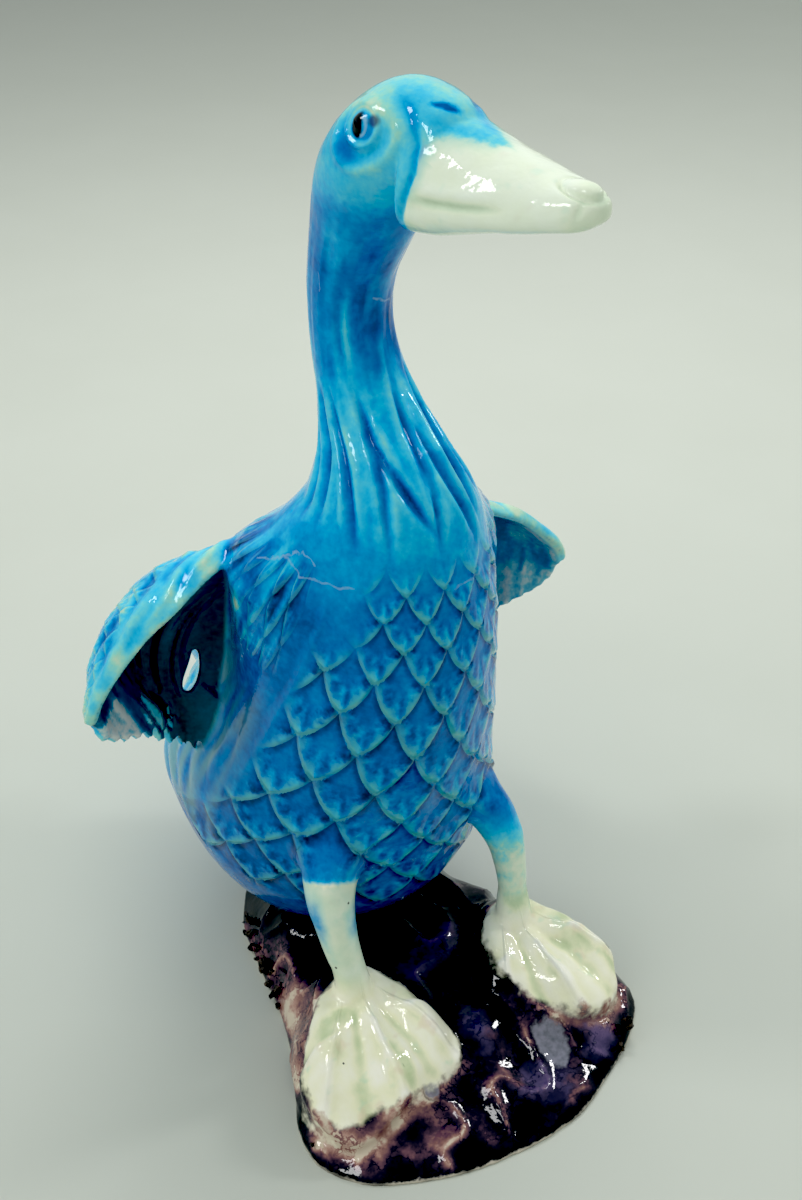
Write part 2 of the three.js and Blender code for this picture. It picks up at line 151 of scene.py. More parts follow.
# ---- feet and rock, as outlines on the ground
FEET = [
    [(-17, 5), (-23, 4), (-27.5, 2), (-32, -2.5), (-36.8, -7.5), (-39, -13), (-38.6, -19.5), (-35.5, -25),
     (-28.6, -26), (-18, -23.5), (-10, -21.8), (-5.4, -18.5), (-5.2, -12), (-9.2, -5), (-12.5, 1.5)],
    [(20, 5), (16.5, 4), (13, 1.5), (10.8, -3), (10.5, -9.5), (14, -17), (19.9, -23), (26.7, -24.5),
     (33.2, -21.8), (35.6, -16.5), (34, -11), (31, -5), (27, 1), (23.5, 4)],
]
FOOT_PROUD = 1.7
FOOT_Z = 24         # feet and rock lie below it
TOE_SPREAD = 34     # degrees from toe to toe
TOE_TURN = 6        # degrees the middle toe points outwards
TOE_ROOT = (0.85, 4)      # where they meet: share of the way out to the foot's middle, and y
ROCK = [
    (0, -40.6), (11, -39.5), (21, -35), (31, -29.5), (38.5, -22), (39.5, -13), (35, -3), (29, 8), (26, 19),
    (21, 31), (18, 44), (11, 56), (0, 61), (-12, 59), (-20, 52), (-25.5, 43), (-28.5, 30), (-30, 18),
    (-33, 6), (-37, -4), (-41, -13), (-41.5, -22), (-36, -30.5), (-26, -36), (-14, -39.6),
]
ROCK_CENTRE = (0, 10)
# grit: stretches of the rock's edge counted in its outline's points, and from and to which height
GRIT_BEDS = [(14.9, 17.1, 1, 6), (20.2, 21.3, 0.8, 3.5), (2.5, 3.3, 1, 4.5)]
GRIT_SOWN = (130000.0, 0.001)      # grains per square metre, grain radius in metres
GRIT_ROUGH = 0.0025                # how far the noise moves a grain's skin, in metres

# where the aubergine glaze runs thin, pools grey or shows violet: place, reach and, for thin spots, how much
THIN_SPOTS = [((-29, -27, 6), 8, 0.07), ((-38, -19, 7), 4.5, 0.2), ((-9, -36, 3), 2.2, 0.5), ((-17, -32, 4), 4, 0.25),
              ((5, -29, 4), 3, 0.25), ((24, -28, 4), 4, 0.12), ((17.9, 4.5, 18), 2.6, 0.8), ((-33, 8, 9), 6, 0.3),
              ((-28, 24, 9), 6, 0.3), ((-37, -6, 7), 4, 0.25), ((33, -20, 8), 3, 0.3)]
GREY_POOLS = [((13.6, -25, 6), (4.2, 6.2, 6)), ((-15.3, -23, 9), (2.2, 3.2, 5))]
VIOLETS = [((3, 7, 11), (10, 9, 8)), ((-4, 3, 11), (6, 6, 6)), ((1, -14, 8), (5, 8, 6)), ((8, -31, 4), (9, 7, 6)),
           ((7, 9, 12), (5, 4, 5)), ((24, -29, 4), (6, 5, 6))]

# ---- the wings: the edges of a cupped shell, right wing then left where they differ
WING_LEAD = [(8, 34, 112), (19, 36, 109.5), (29.5, 35.5, 105), (38, 34.5, 100), (44, 35.5, 95), (50, 36, 88.5),
             (54, 36.5, 83), (56, 37.5, 78)]
WING_TRAIL = [(27.5, 38, 64), (33, 42, 61.5), (38, 43.5, 64), (44, 40.5, 69), (50, 39.5, 71), (54.5, 39, 74)]
WING_ROOT = [(8, 34, 112), (14, 42, 105), (22, 47.5, 96), (30, 49, 86), (32, 47, 75), (27.5, 38, 64)]
WING_BULGE = (7.7, 3.4)
WING_DROOP = (0, 5.5)
WING_THICK = 2.8
WING_SUNK = array((56, 16, 0.0))     # how its root runs on into the body, for u below 0
WING_FEATHERS = 11
SLOT = [(29.7, 82), (29.1, 79.2), (29.2, 75.4), (30.2, 72.2), (31.8, 70.2), (33.4, 71.2), (33, 73.9), (31.3, 77.6)]
SLOT_Y = 47
SLOT_RUN = (-0.39, 1, -0.8)


# ---- numbers

def smooth(x, low, high):
    t = clip((np.asarray(x, float) - low) / (high - low), 0, 1)
    return t * t * (3 - 2 * t)


def upto(x, low, high):
    """One below low, falling smoothly to nothing at high."""
    return 1 - smooth(x, low, high)


def between(x, low, full, late, gone):
    """Rises smoothly from low to full and falls again from late to gone."""
    return smooth(x, low, full) * upto(x, late, gone)


def mix(a, b, t):
    return a + (b - a) * t


def hump(x):
    """One at zero, falling smoothly to nothing by about two."""
    return np.exp(-np.square(x))


def bend(b, c, m, n, w):
    """A smooth way from b to c that leaves with slope m and arrives with slope n, at share w of it."""
    return b + m * w + (3 * (c - b) - 2 * m - n) * w ** 2 + (2 * (b - c) + m + n) * w ** 3


def curve(points, t):
    """Places on a smooth curve through points, at shares t of its length in spans."""
    p = np.asarray(points, float)
    p = np.vstack([2 * p[0] - p[1], p, 2 * p[-1] - p[-2]])
    place = clip(np.asarray(t, float), 0, 1) * (len(p) - 3)
    i = minimum(np.floor(place).astype(int), len(p) - 4)
    w = (place - i)[..., None]
    a, b, c, d = p[i], p[i + 1], p[i + 2], p[i + 3]
    return bend(b, c, (c - a) / 2, (d - b) / 2, w)


def ring(points, count):
    """A closed smooth outline through points."""
    p = np.asarray(points, float)
    place = np.arange(count) / count * len(p)
    i = np.floor(place).astype(int)
    w = (place - i)[:, None]
    a, b, c, d = (p[(i + k) % len(p)] for k in (-1, 0, 1, 2))
    r, s, t = (np.sqrt(norm(v - u, axis=1))[:, None] for u, v in ((a, b), (b, c), (c, d)))
    m = ((b - a) / r - (c - a) / (r + s) + (c - b) / s) * s
    n = ((c - b) / s - (d - b) / (s + t) + (d - c) / t) * s
    return bend(b, c, m, n, w)


def unit(v):
    return v / norm(v, axis=-1)[..., None]


def lumps(p, size, seed=0):
    """Smooth random lumps between -1 and 1, about size across."""
    q = np.asarray(p, float) / size + 31.7 * seed + 1000
    cell = np.floor(q).astype(np.int64)
    f = q - cell
    f = f * f * (3 - 2 * f)
    total = np.zeros(len(q))
    for corner in range(8):
        step = array([corner & 1, corner >> 1 & 1, corner >> 2 & 1])
        x, y, z = (cell + step).T
        h = (x * 73856093) ^ (y * 19349663) ^ (z * 83492791)
        h = (h * 1103515245 + 12345) & 0x7FFFFFFF
        h = ((h >> 7) * 69069 + 907633385) & 0x7FFFFFFF
        weight = np.prod(where(step, f, 1 - f), axis=1)
        total += weight * (h / 0x3FFFFFFF - 1)
    return total


def streaks(a, b, seed):
    """Random lumps over two measures of a place."""
    return lumps(stack([a, b, 0 * a], 1), 1, seed)


def line_gap(a, b, line, kit=np):
    """How far places (a, b) lie from a bent line through points; kit is numpy or a material's nodes."""
    best = 1e9
    for (x0, y0), (x1, y1) in zip(line[:-1], line[1:]):
        dx, dy = x1 - x0, y1 - y0
        share = ((a - x0) * dx + (b - y0) * dy) / (dx * dx + dy * dy)
        share = kit.minimum(kit.maximum(share, 0), 1)
        best = kit.minimum(best, kit.sqrt((a - x0 - share * dx) ** 2 + (b - y0 - share * dy) ** 2))
    return best


def inside_by(a, b, outline):
    """How far places (a, b) lie inside a closed outline; negative outside it."""
    closed = list(map(tuple, outline)) + [tuple(outline[0])]
    within = np.zeros(np.shape(a), bool)
    for (x0, y0), (x1, y1) in zip(closed[:-1], closed[1:]):
        if y0 != y1:
            within ^= ((b < y0) != (b < y1)) & (a < x0 + (b - y0) / (y1 - y0) * (x1 - x0))
    return where(within, 1, -1) * line_gap(a, b, closed)


# ---- the shapes

def turned(p, way=1):
    """The head's slow turn to its left, or back again."""
    angle = way * math.radians(HEAD_YAW) * smooth(p[..., 2], *HEAD_TURN_Z)
    dy = p[..., 1] - HEAD_AXIS_Y
    x = p[..., 0] * cos(angle) - dy * sin(angle)
    y = HEAD_AXIS_Y + p[..., 0] * sin(angle) + dy * cos(angle)
    return stack([x, y, p[..., 2]], -1)


def section(t):
    """Front y, z, back y, z, half width, slimming of the trunk at share t of its height."""
    return np.moveaxis(curve(TRUNK, t), -1, 0)


def swelling(along, around):
    """How far the shoulders stand out of the trunk's oval, in millimetres."""
    around = np.abs((around + 180) % 360 - 180)
    deep, at, wide, up, tall = FLANK_HOLLOW
    hollow = deep * hump((around - at) / wide) * hump((along - up) / tall)
    return interp(along, *zip(*SHOULDER)) * hump((around - SHOULDER_AT[0]) / SHOULDER_AT[1]) + hollow


def trunk_at(t, around, swell=0):
    fy, fz, by, bz, half, lost, start = section(t)
    angle = radians(around)
    reach = 1 + swell / half
    k = (1 - reach * cos(angle)) / 2
    wide = half * (1 - lost * smooth((k - start) / (0.95 - start), 0, 1))
    return turned(stack([reach * wide * sin(angle), mix(fy, by, k), mix(fz, bz, k)], -1))


SHARES = linspace(0, 1, 1501)
BREAST = np.concatenate([[0], np.cumsum(norm(np.diff(trunk_at(SHARES, 0 * SHARES), axis=0), axis=1))])


def shell(rings, start=None, end=None):
    """A closed shell through rings of equally many places, with a place closing each end."""
    rings = np.asarray(rings, float)
    count, sides = rings.shape[:2]
    start = rings[0].mean(0) if start is None else start
    end = rings[-1].mean(0) if end is None else end
    places = np.vstack([rings.reshape(-1, 3), start, end])
    i, j = np.meshgrid(np.arange(count - 1), np.arange(sides), indexing="ij")
    a = (i * sides + j).ravel()
    b = (i * sides + (j + 1) % sides).ravel()
    faces = stack([a, b, b + sides, a + sides], 1).tolist()
    last = (count - 1) * sides
    for j in range(sides):
        k = (j + 1) % sides
        faces.append([count * sides, k, j])
        faces.append([count * sides + 1, last + j, last + k])
    return places, faces


def trunk():
    length = np.arange(1, 204.6, 1.0)
    t = interp(length, BREAST, SHARES)
    around = np.arange(0, 360, 2)
    swell = swelling(length[:, None], around[None])
    t, around = np.meshgrid(t, around, indexing="ij")
    return shell(trunk_at(t, around, swell))


def bill():
    share = linspace(0, 1, 56)
    y, low, top, half = curve(BILL, share).T
    ends = [(y[0] + 0.5, 0.97), (y[0] + 0.9, 0.88)], [(y[-1] - 0.4, 0.75), (y[-1] - 0.6, 0.4)]
    seam = mix(low, top, BILL_SEAM)
    a = radians(np.arange(0, 360, 7.5))
    under = cos(a) < 0
    across = np.sign(sin(a)) * np.abs(sin(a)) ** where(under, 0.6, 0.9)
    rings = []
    for i in range(len(share)):
        down = seam[i] - (seam[i] - low[i]) * np.abs(cos(a)) ** 0.7
        z = where(under, down, seam[i] + (top[i] - seam[i]) * cos(a))
        rings.append(stack([half[i] * across, np.full(len(a), y[i]), z], 1))
    for at, group in ((0, ends[0]), (-1, ends[1])):
        base = rings[at]
        centre = base.mean(0)
        for place, size in group:
            closing = centre + (base - centre) * size
            closing[:, 1] = place
            rings.insert(0, closing) if at == 0 else rings.append(closing)
    return shell(turned(array(rings)))


def egg(centre, sizes, side=1):
    a, b = np.meshgrid(radians(np.arange(10, 180, 10)), radians(np.arange(0, 360, 15)), indexing="ij")
    unit = stack([sin(a) * cos(b), sin(a) * sin(b), cos(a)], -1)
    rings = array(centre) * (side, 1, 1) + unit * sizes
    poles = [array(centre) * (side, 1, 1) + array((0, 0, s * sizes[2])) for s in (1, -1)]
    return shell(turned(rings), *(turned(array(p)) for p in poles))


def bar(stations, side=1, count=40, sides=36):
    """A bar of oval section along its stations."""
    stations = array(stations, float)
    line = stations[:, :3] * (side, 1, 1)
    share = linspace(0, 1, count)
    place = curve(line, share)
    ahead = unit(curve(line, share + 1e-4) - curve(line, share - 1e-4))
    across = unit(array((1, 0, 0)) - ahead * ahead[:, :1])
    out = np.cross(ahead, across)
    wide, high = curve(stations[:, 3:], share).T
    a = linspace(0, 2 * math.pi, sides, endpoint=False)
    rings = (place[:, None] + across[:, None] * (wide[:, None] * cos(a))[..., None]
             + out[:, None] * (high[:, None] * sin(a))[..., None])
    return shell(rings)


def mound(outline, centre, shares, height, floor):
    """Rings of an outline drawn in towards its middle, over a flat underside."""
    centre = array(centre, float)
    rings = []
    for share in shares:
        x, y = (centre + (outline - centre) * share).T
        rings.append(stack([x, y, height(x, y, share)], 1))
    rings.append(np.column_stack([outline, np.full(len(outline), float(floor))]))
    top = height(*centre[:, None], 0.0)[0]
    return shell(rings, array([*centre, top]), array([*centre, floor]))


def rock_height(x, y):
    """A lobe under each foot, sloping forward, with a valley between and a saddle behind."""
    ahead = clip((4 - y) / 30, 0, 1)
    off = hypot((np.abs(x) - 22) / 19, (y + 9) / 23)
    lobe = mix(18.5, 9.5, ahead) * upto(off, 0.55, 1.35)
    saddle = mix(11.5, 6.5, ahead)
    bumps = sin(0.33 * x + 0.9) * sin(0.29 * y + 0.4) + 0.6 * sin(0.61 * x - 0.35 * y)
    return maximum(lobe, saddle) + 0.5 * bumps


def rock():
    def height(x, y, share):
        steep = mix(10, 4.5, smooth(-y, 4, 30))
        return rock_height(x, y) * (1 - 0.86 * share ** steep)

    shares = list(linspace(0.05, 0.86, 28)) + list(linspace(0.88, 1, 9))
    return mound(ring(ROCK, 150), ROCK_CENTRE, shares, height, 0)


def toe_bearing(x, y, side, centre):
    """Angle from the middle toe, in steps from toe to toe."""
    bearing = np.degrees(np.arctan2((x - centre[0] * TOE_ROOT[0]) * side, TOE_ROOT[1] - y))
    return (bearing - TOE_TURN) / TOE_SPREAD


def toes(x, y, side, centre):
    """One on each toe, falling to nothing in the web between them."""
    return 0.5 + 0.5 * cos(radians(clip(toe_bearing(x, y, side, centre), -1, 1) * 360))


def foot(side):
    outline = ring(FEET[side > 0], 90)
    centre = outline.mean(0)

    def height(x, y, share):
        web = 1.1 * toes(x, y, side, centre) * smooth(-y, -2, 8) * (1 - 0.5 * share ** 4)
        return rock_height(x, y) + FOOT_PROUD * (1 - share ** 6) + web

    shares = list(linspace(0.06, 0.8, 16)) + [0.85, 0.9, 0.94, 0.97, 1]
    return mound(outline, centre, shares, height, 2)


def barb(u):
    """From nothing on a wing feather's quill to one at its edge."""
    return np.abs((u * WING_FEATHERS) % 1 - 0.5) * 2


def wing_place(u, v, side):
    """A place on the middle sheet of a wing: u runs out from the body, v from front edge to tips."""
    sunk = minimum(u, 0)[..., None] * WING_SUNK
    u = maximum(u, 0)
    lead, trail, root = curve(WING_LEAD, u), curve(WING_TRAIL, u), curve(WING_ROOT, v)
    u, v = u[..., None], v[..., None]
    lead_tip, trail_tip = (array(edge[-1], float) for edge in (WING_LEAD, WING_TRAIL))
    root_top, root_foot = (array(WING_ROOT[k], float) for k in (0, -1))
    tip = mix(lead_tip, trail_tip, v)
    sheet = mix(lead, trail, v) + mix(root, tip, u) - mix(mix(root_top, root_foot, v), tip, u)
    swell = smooth(u, 0.08, 0.36) * (1 - 0.74 * smooth(u, 0.5, 1))
    cup = WING_BULGE[side > 0] * clip(sin(math.pi * v ** 0.7), 0, 1) ** 0.7 * swell
    fall = WING_DROOP[side > 0] * (1 - u) * (1 - v)
    return sheet + cup * array((0.08, 0.78, 0.6)) - fall * array((0, 0, 1.0)) + sunk


def wing_sheets(side, spans=132, chords=44):
    """Front and back sheet of a wing as grids of places, with the grids of u and v."""
    out = np.concatenate([[-0.25, -0.12], linspace(0, 1, spans + 1)])
    u, v = np.meshgrid(out, linspace(0, 1, chords + 1), indexing="ij")
    middle = wing_place(u, v, side)
    step = 0.004
    hold = clip(u, step, 1 - step)
    along = wing_place(hold + step, v, side) - wing_place(hold - step, v, side)
    down = wing_place(u, minimum(v + step, 1), side) - wing_place(u, maximum(v - step, 0), side)
    out = unit(np.cross(down, along))
    notch = mix(9.5, 2.4, smooth(u, 0.42, 0.66)) * barb(u) ** 1.8 - mix(3.2, 1.4, smooth(u, 0.42, 0.66))
    tip = (smooth(v, 0.74, 1) * notch * (1.0 if side < 0 else 0.15))[..., None] * array((0, 0, 1.0))
    middle = middle + tip
    relief = (0.85 - 1.4 * barb(u) ** 2) * smooth(v, 0.2, 0.6) * (1.0 if side < 0 else 0.4)
    edge = np.sqrt(clip(1 - np.square(clip((0.05 - v) / 0.05, 0, 1)), 0.15, 1))
    half = WING_THICK / 2 * edge * mix(1, 0.42, smooth(v, 0.82, 1)) * (1 + 0.9 * clip(1 - u, 0, 1) ** 4)
    front = middle + out * (half + relief)[..., None]
    back = middle - out * half[..., None]
    mirror = array((side, 1, 1))
    return front * mirror, back * mirror, u, v


def wing(side):
    front, back, _, _ = wing_sheets(side)
    return shell(np.concatenate([front, back[:, ::-1]], axis=1))


def slot(side):
    outline = array([(x, SLOT_Y, z) for x, z in SLOT])
    rings = [(outline + array(SLOT_RUN) * run) * (side, 1, 1) for run in linspace(-7, 9, 9)]
    return shell(rings)


# ---- meshes

def put(name, data):
    """An object in the scene that holds a mesh, lamp or camera."""
    made = bpy.data.objects.new(name, data)
    bpy.context.scene.collection.objects.link(made)
    return made


def mesh_piece(name, *shells):
    """One object from closed shells given in millimetres."""
    places, faces, count = [], [], 0
    for p, f in shells:
        places.append(p)
        faces += [[k + count for k in face] for face in f]
        count += len(p)
    mesh = bpy.data.meshes.new(name)
    mesh.from_pydata((np.vstack(places) * MM).tolist(), [], faces)
    return put(name, mesh)


def settle(piece, name, kind, **settings):
    """Adds a modifier, keeps its result as the piece's own mesh and drops the modifier."""
    modifier = piece.modifiers.new(name, kind)
    for key, value in settings.items():
        setattr(modifier, key, value)
    made = bpy.data.meshes.new_from_object(piece.evaluated_get(bpy.context.evaluated_depsgraph_get()))
    piece.modifiers.clear()
    piece.data = made


def read(things, name, width=1, kind=float):
    """One property of a mesh's places, edges, corners or faces."""
    flat = np.empty(len(things) * width, kind)
    things.foreach_get(name, flat)
    return flat.reshape(-1, width) if width > 1 else flat


def places_of(mesh):
    return read(mesh.vertices, "co", 3) / MM


def move_to(mesh, places):
    mesh.vertices.foreach_set("co", (places * MM).ravel())
    mesh.update()


def neighbour_mean(mesh, values, rounds=1):
    """Averages values over each place's neighbours."""
    a, b = read(mesh.edges, "vertices", 2, int).T
    count = np.bincount(a, minlength=len(values)) + np.bincount(b, minlength=len(values)) + 1.0
    for _ in range(rounds):
        columns = [values] if values.ndim == 1 else list(values.T)
        done = [(c + np.bincount(a, c[b], len(c)) + np.bincount(b, c[a], len(c))) / count for c in columns]
        values = done[0] if values.ndim == 1 else stack(done, 1)
    return values


# ---- where a place lies on the bird

class Placed:
    """For places on the skin: which form each lies on, and where along and around it."""

    def __init__(self, p):
        self.p = p
        self.x, self.y, self.z = p.T
        self.head = turned(p, -1)
        self.find_trunk()
        self.find_face()
        self.find_wings()
        self.find_limbs()
        self.wing_back = self.on_wing * (1 - self.wing_front)
        self.right = self.x < 0

    def round_neck(self, at):
        """How far round the neck a place lies from an angle, in millimetres."""
        return radians((self.around - at + 180) % 360 - 180) * interp(self.along, *NECK_RADIUS)

    def find_trunk(self):
        hx, hy, hz = self.head.T
        table = section(SHARES)
        low, high = np.zeros(len(hy)), np.ones(len(hy))
        for _ in range(14):
            t = (low + high) / 2
            fy, fz, by, bz = (interp(t, SHARES, table[k]) for k in range(4))
            above = (by - fy) * (hz - fz) - (bz - fz) * (hy - fy) > 0
            low, high = where(above, t, low), where(above, high, t)
        fy, fz, by, bz, half, lost, start = (interp(t, SHARES, table[k]) for k in range(7))
        span = hypot(by - fy, bz - fz)
        k = ((hy - fy) * (by - fy) + (hz - fz) * (bz - fz)) / span ** 2
        wide = half * (1 - lost * smooth((k - start) / (0.95 - start), 0, 1))
        self.around = np.degrees(np.arctan2(hx / wide, 1 - 2 * k))
        self.along = interp(t, SHARES, BREAST)
        reach = hypot(hx / wide, 1 - 2 * k)
        self.trunk_gap = (reach - 1 - swelling(self.along, self.around) / half) * minimum(wide, span / 2)
        self.on_trunk = upto(np.abs(self.trunk_gap), 0.6, 1.8)
        self.rows = interp(self.along, SCALE_TIPS, np.arange(len(SCALE_TIPS)))

    def find_face(self):
        hx, hy, hz = self.head.T
        y, low, top, half = curve(BILL, linspace(0, 1, 200)).T[:, ::-1]
        low, top, half = (interp(hy, y, c) for c in (low, top, half))
        seam = mix(low, top, BILL_SEAM)
        self.bill_seam = hz - seam
        back, out = hy - NOSTRIL_AT[0], where(hx < 0, -hx, hx - 2.6) - NOSTRIL_AT[1]
        ahead, aside = back * 0.81 + out * 0.58, back * 0.58 - out * 0.81
        self.nostril = hypot(ahead / NOSTRIL_REACH[0], aside / NOSTRIL_REACH[1])
        self.bill_rise = (hz - seam) / (top - seam)
        self.on_bill = smooth(9.4 - hy, 0, 0.8) * smooth(hz, THROAT_Z, THROAT_Z + 2)
        self.in_socket = inside_by(hy, hz, ring(SOCKET, 40))
        self.cheek_gap = line_gap(hy, hz, CHEEK_LINE)

    def find_wings(self):
        self.wing_u, self.wing_v, self.wing_front = np.zeros((3, len(self.p)))
        self.wing_gap = np.full(len(self.p), 9.0)
        self.wing_rim = np.full(len(self.p), 99.0)     # millimetres from the front edge of the hollow
        near = where((np.abs(self.x) > 7) & (self.z > 56) & (self.z < 120) & (self.y > 24) & (self.y < 70))[0]
        for side in (-1, 1):
            front, back, u, v = wing_sheets(side)
            count, chords = u.shape
            i, j = np.meshgrid(np.arange(count - 1), np.arange(chords - 1), indexing="ij")
            corner = (i * chords + j).ravel()
            quads = stack([corner, corner + chords, corner + chords + 1, corner + 1], 1)
            for facing, sheet in ((1, front), (0, back)):
                flat = sheet.reshape(-1, 3)
                tree = BVHTree.FromPolygons(flat.tolist(), quads.tolist())
                mine = near[self.x[near] * side > 0]
                for n in mine:
                    hit, _, face, gap = tree.find_nearest(self.p[n], 2.6)
                    if hit is None or gap > self.wing_gap[n]:
                        continue
                    a, b, _, d = quads[face]
                    rel = array(hit) - flat[a]
                    run, drop = flat[b] - flat[a], flat[d] - flat[a]
                    f = min(max(rel @ run / (run @ run + 1e-9), 0), 1)
                    g = min(max(rel @ drop / (drop @ drop + 1e-9), 0), 1)
                    self.wing_gap[n] = gap
                    self.wing_u[n] = u.flat[a] + f * (u.flat[b] - u.flat[a])
                    self.wing_v[n] = v.flat[a] + g * (v.flat[d] - v.flat[a])
                    self.wing_front[n] = facing
            line = KDTree(count)
            for k in range(count):
                line.insert(front[k, 0], k)
            line.balance()
            for n in mine:
                if self.wing_gap[n] < 2:
                    self.wing_rim[n] = line.find(self.p[n])[2]
        self.on_wing = upto(self.wing_gap, 0.7, 1.6) * smooth(self.trunk_gap, 0.3, 1.6)

    def find_limbs(self):
        x, y, z = self.p.T
        self.leg_gap = np.full(len(self.p), 9.0)
        self.leg_side = np.zeros(len(self.p))     # from -1 on its outer right to 1 on its left, seen from ahead
        self.foot_in = np.full(len(self.p), -99.0)
        self.toe, self.toe_reach, self.crease = np.zeros((3, len(self.p)))
        leg = array(LEG)
        for side in (-1, 1):
            line = curve(leg[:, :3] * (side, 1, 1), linspace(0, 1, 60))
            radius = curve(leg[:, 3:4], linspace(0, 1, 60))[:, 0]
            mine = where((x * side > 4) & (z < KNEE_Z) & (y < 30) & (y > -14))[0]
            away = norm(self.p[mine, None] - line[None], axis=2) - radius
            nearest = away.argmin(1)
            self.leg_gap[mine] = np.abs(away[np.arange(len(mine)), nearest])
            off = self.p[mine] - line[nearest]
            self.leg_side[mine] = (off @ array((0.86, -0.51, 0))) / radius[nearest]
            outline = ring(FEET[side > 0], 60)
            self.foot_in = maximum(self.foot_in, inside_by(x, y, outline))
            mine = x * side > 0
            centre = outline.mean(0)
            gap = np.abs(toe_bearing(x, y, side, centre)) % 1 - 0.5
            self.crease = where(mine, hump(gap / 0.13) * smooth(-y, 2, 12), self.crease)
            toe = toes(x, y, side, centre) * smooth(-y, 3, 9)
            self.toe = where(mine, toe, self.toe)
            self.toe_reach = where(mine, hypot(x - centre[0], y - TOE_ROOT[1]), self.toe_reach)
        ground = rock_height(x, y)
        self.on_foot = smooth(self.foot_in, -0.6, 0.4) * smooth(z - ground, -1.5, 0) * upto(z, FOOT_Z, FOOT_Z + 3)
        self.on_leg = upto(self.leg_gap, 0.5, 1.6) * smooth(z, 15, 20)
        self.on_rock = (1 - self.on_foot) * (1 - self.on_leg) * upto(z, 21, 24)
        self.on_rock = self.on_rock * smooth(self.trunk_gap, 0.2, 1.2)


# ---- the carving

def scale_edge(x):
    """Outline of a feather's lower edge, from its tip (0) to its side (1)."""
    return 0.5 * x + 0.5 * x ** 2.4


def scales(s, r, kit=np):
    """Overlapping feathers: place above each one's own lower edge, room left above, offset from its quill."""
    row = kit.floor(r)
    rest = r - row
    off = s - (0.5 - 0.5 * (row % 2))
    off = off - kit.round(off)
    x = 2 * abs(off)
    low, high = scale_edge(x), scale_edge(1 - x)
    own = rest > low
    above = kit.where(own, rest - low, rest + 1 - high)
    room = kit.where(own, 1 + high - rest, low - rest)
    return above, room, kit.where(own, off, off - 0.5 * kit.sign(off))


def panel_edge(along):
    """Half angle of the scaled panel: narrow on the breast, wide under the belly."""
    return interp(along, [18, 30, 40, 57, 110], [100, 92, 74, 65, 62])


def flute_field(w):
    """Depth of the neck's grooves and height of the ridges beside them, in millimetres."""
    deep = np.zeros(len(w.along))
    high = np.zeros(len(w.along))
    for top, top_l, foot, foot_l, half, depth in NECK_FLUTES:
        f = (top_l - w.along) / (top_l - foot_l)
        off = w.round_neck(mix(top, foot, f) + 3 * sin(3 * f + top))
        fade = between(f, -0.12, 0.2, 0.7, 1.12)
        taper = mix(0.8, 1.25, smooth(f, 0, 0.4)) * mix(1, 0.7, smooth(f, 0.5, 1))
        deep = maximum(deep, depth * fade * hump(np.abs(off / (0.75 * half * taper)) ** 0.8))
        high = maximum(high, 0.8 * fade * hump((np.abs(off) - 1.9 * half) / 0.6))
    for top, top_l, foot, foot_l in NECK_RIDGES:
        f = (top_l - w.along) / (top_l - foot_l)
        off = w.round_neck(mix(top, foot, f))
        high = maximum(high, 1.4 * between(f, -0.1, 0.2, 0.8, 1.1) * hump(off / 0.7))
    return deep, high


def feathers(w):
    """The lattice of feathers a place lies in: its place round and down it, and the feathers' height."""
    a = np.abs(w.around)
    edge = panel_edge(w.along)
    panel = upto(a, edge - 5, edge + 3) * between(w.along, 21, 26, 111, 121)
    panel *= 1 - smooth(-w.around, 34, 50) * smooth(w.along, 92, 104)
    back = 0.4 * smooth(a, edge + 20, edge + 40) * between(w.along, 24, 34, 100, 120)
    round_it = w.around / SCALE_ANGLE + 0.05 * lumps(w.p, 14, 3)
    down_it = w.rows + 0.10 * lumps(w.p, 14, 4)
    leg_top = (w.leg_gap < 2) * smooth(w.z, 43, 49) * (w.z < KNEE_Z)
    height = SCALE_PROUD * maximum(panel, back) * maximum(w.on_trunk, leg_top)
    shoulder = between(a, 72, 78, 128, 142) * smooth(w.along, 84, 88)
    shoulder *= 0.5 * upto(w.along, 110, 118) * w.on_trunk
    wing = w.wing_back * between(w.wing_v, 0.10, 0.13, 0.58, 0.66)
    wing *= 0.45 * smooth(w.wing_u, 0.12, 0.2)
    shoulder_rows = interp(w.along, [80, 94, 106, 118], range(4))
    wing_rows = interp(w.wing_v, [0.1, 0.19, 0.29, 0.4, 0.52, 0.66], range(15, 9, -1))
    for other, s, r in ((shoulder, a / 7 + 0.15, shoulder_rows), (wing, w.wing_u * 10, wing_rows)):
        here = other > height
        round_it, down_it = where(here, s, round_it), where(here, r, down_it)
        height = np.abs(other - height)
    return round_it, down_it, height


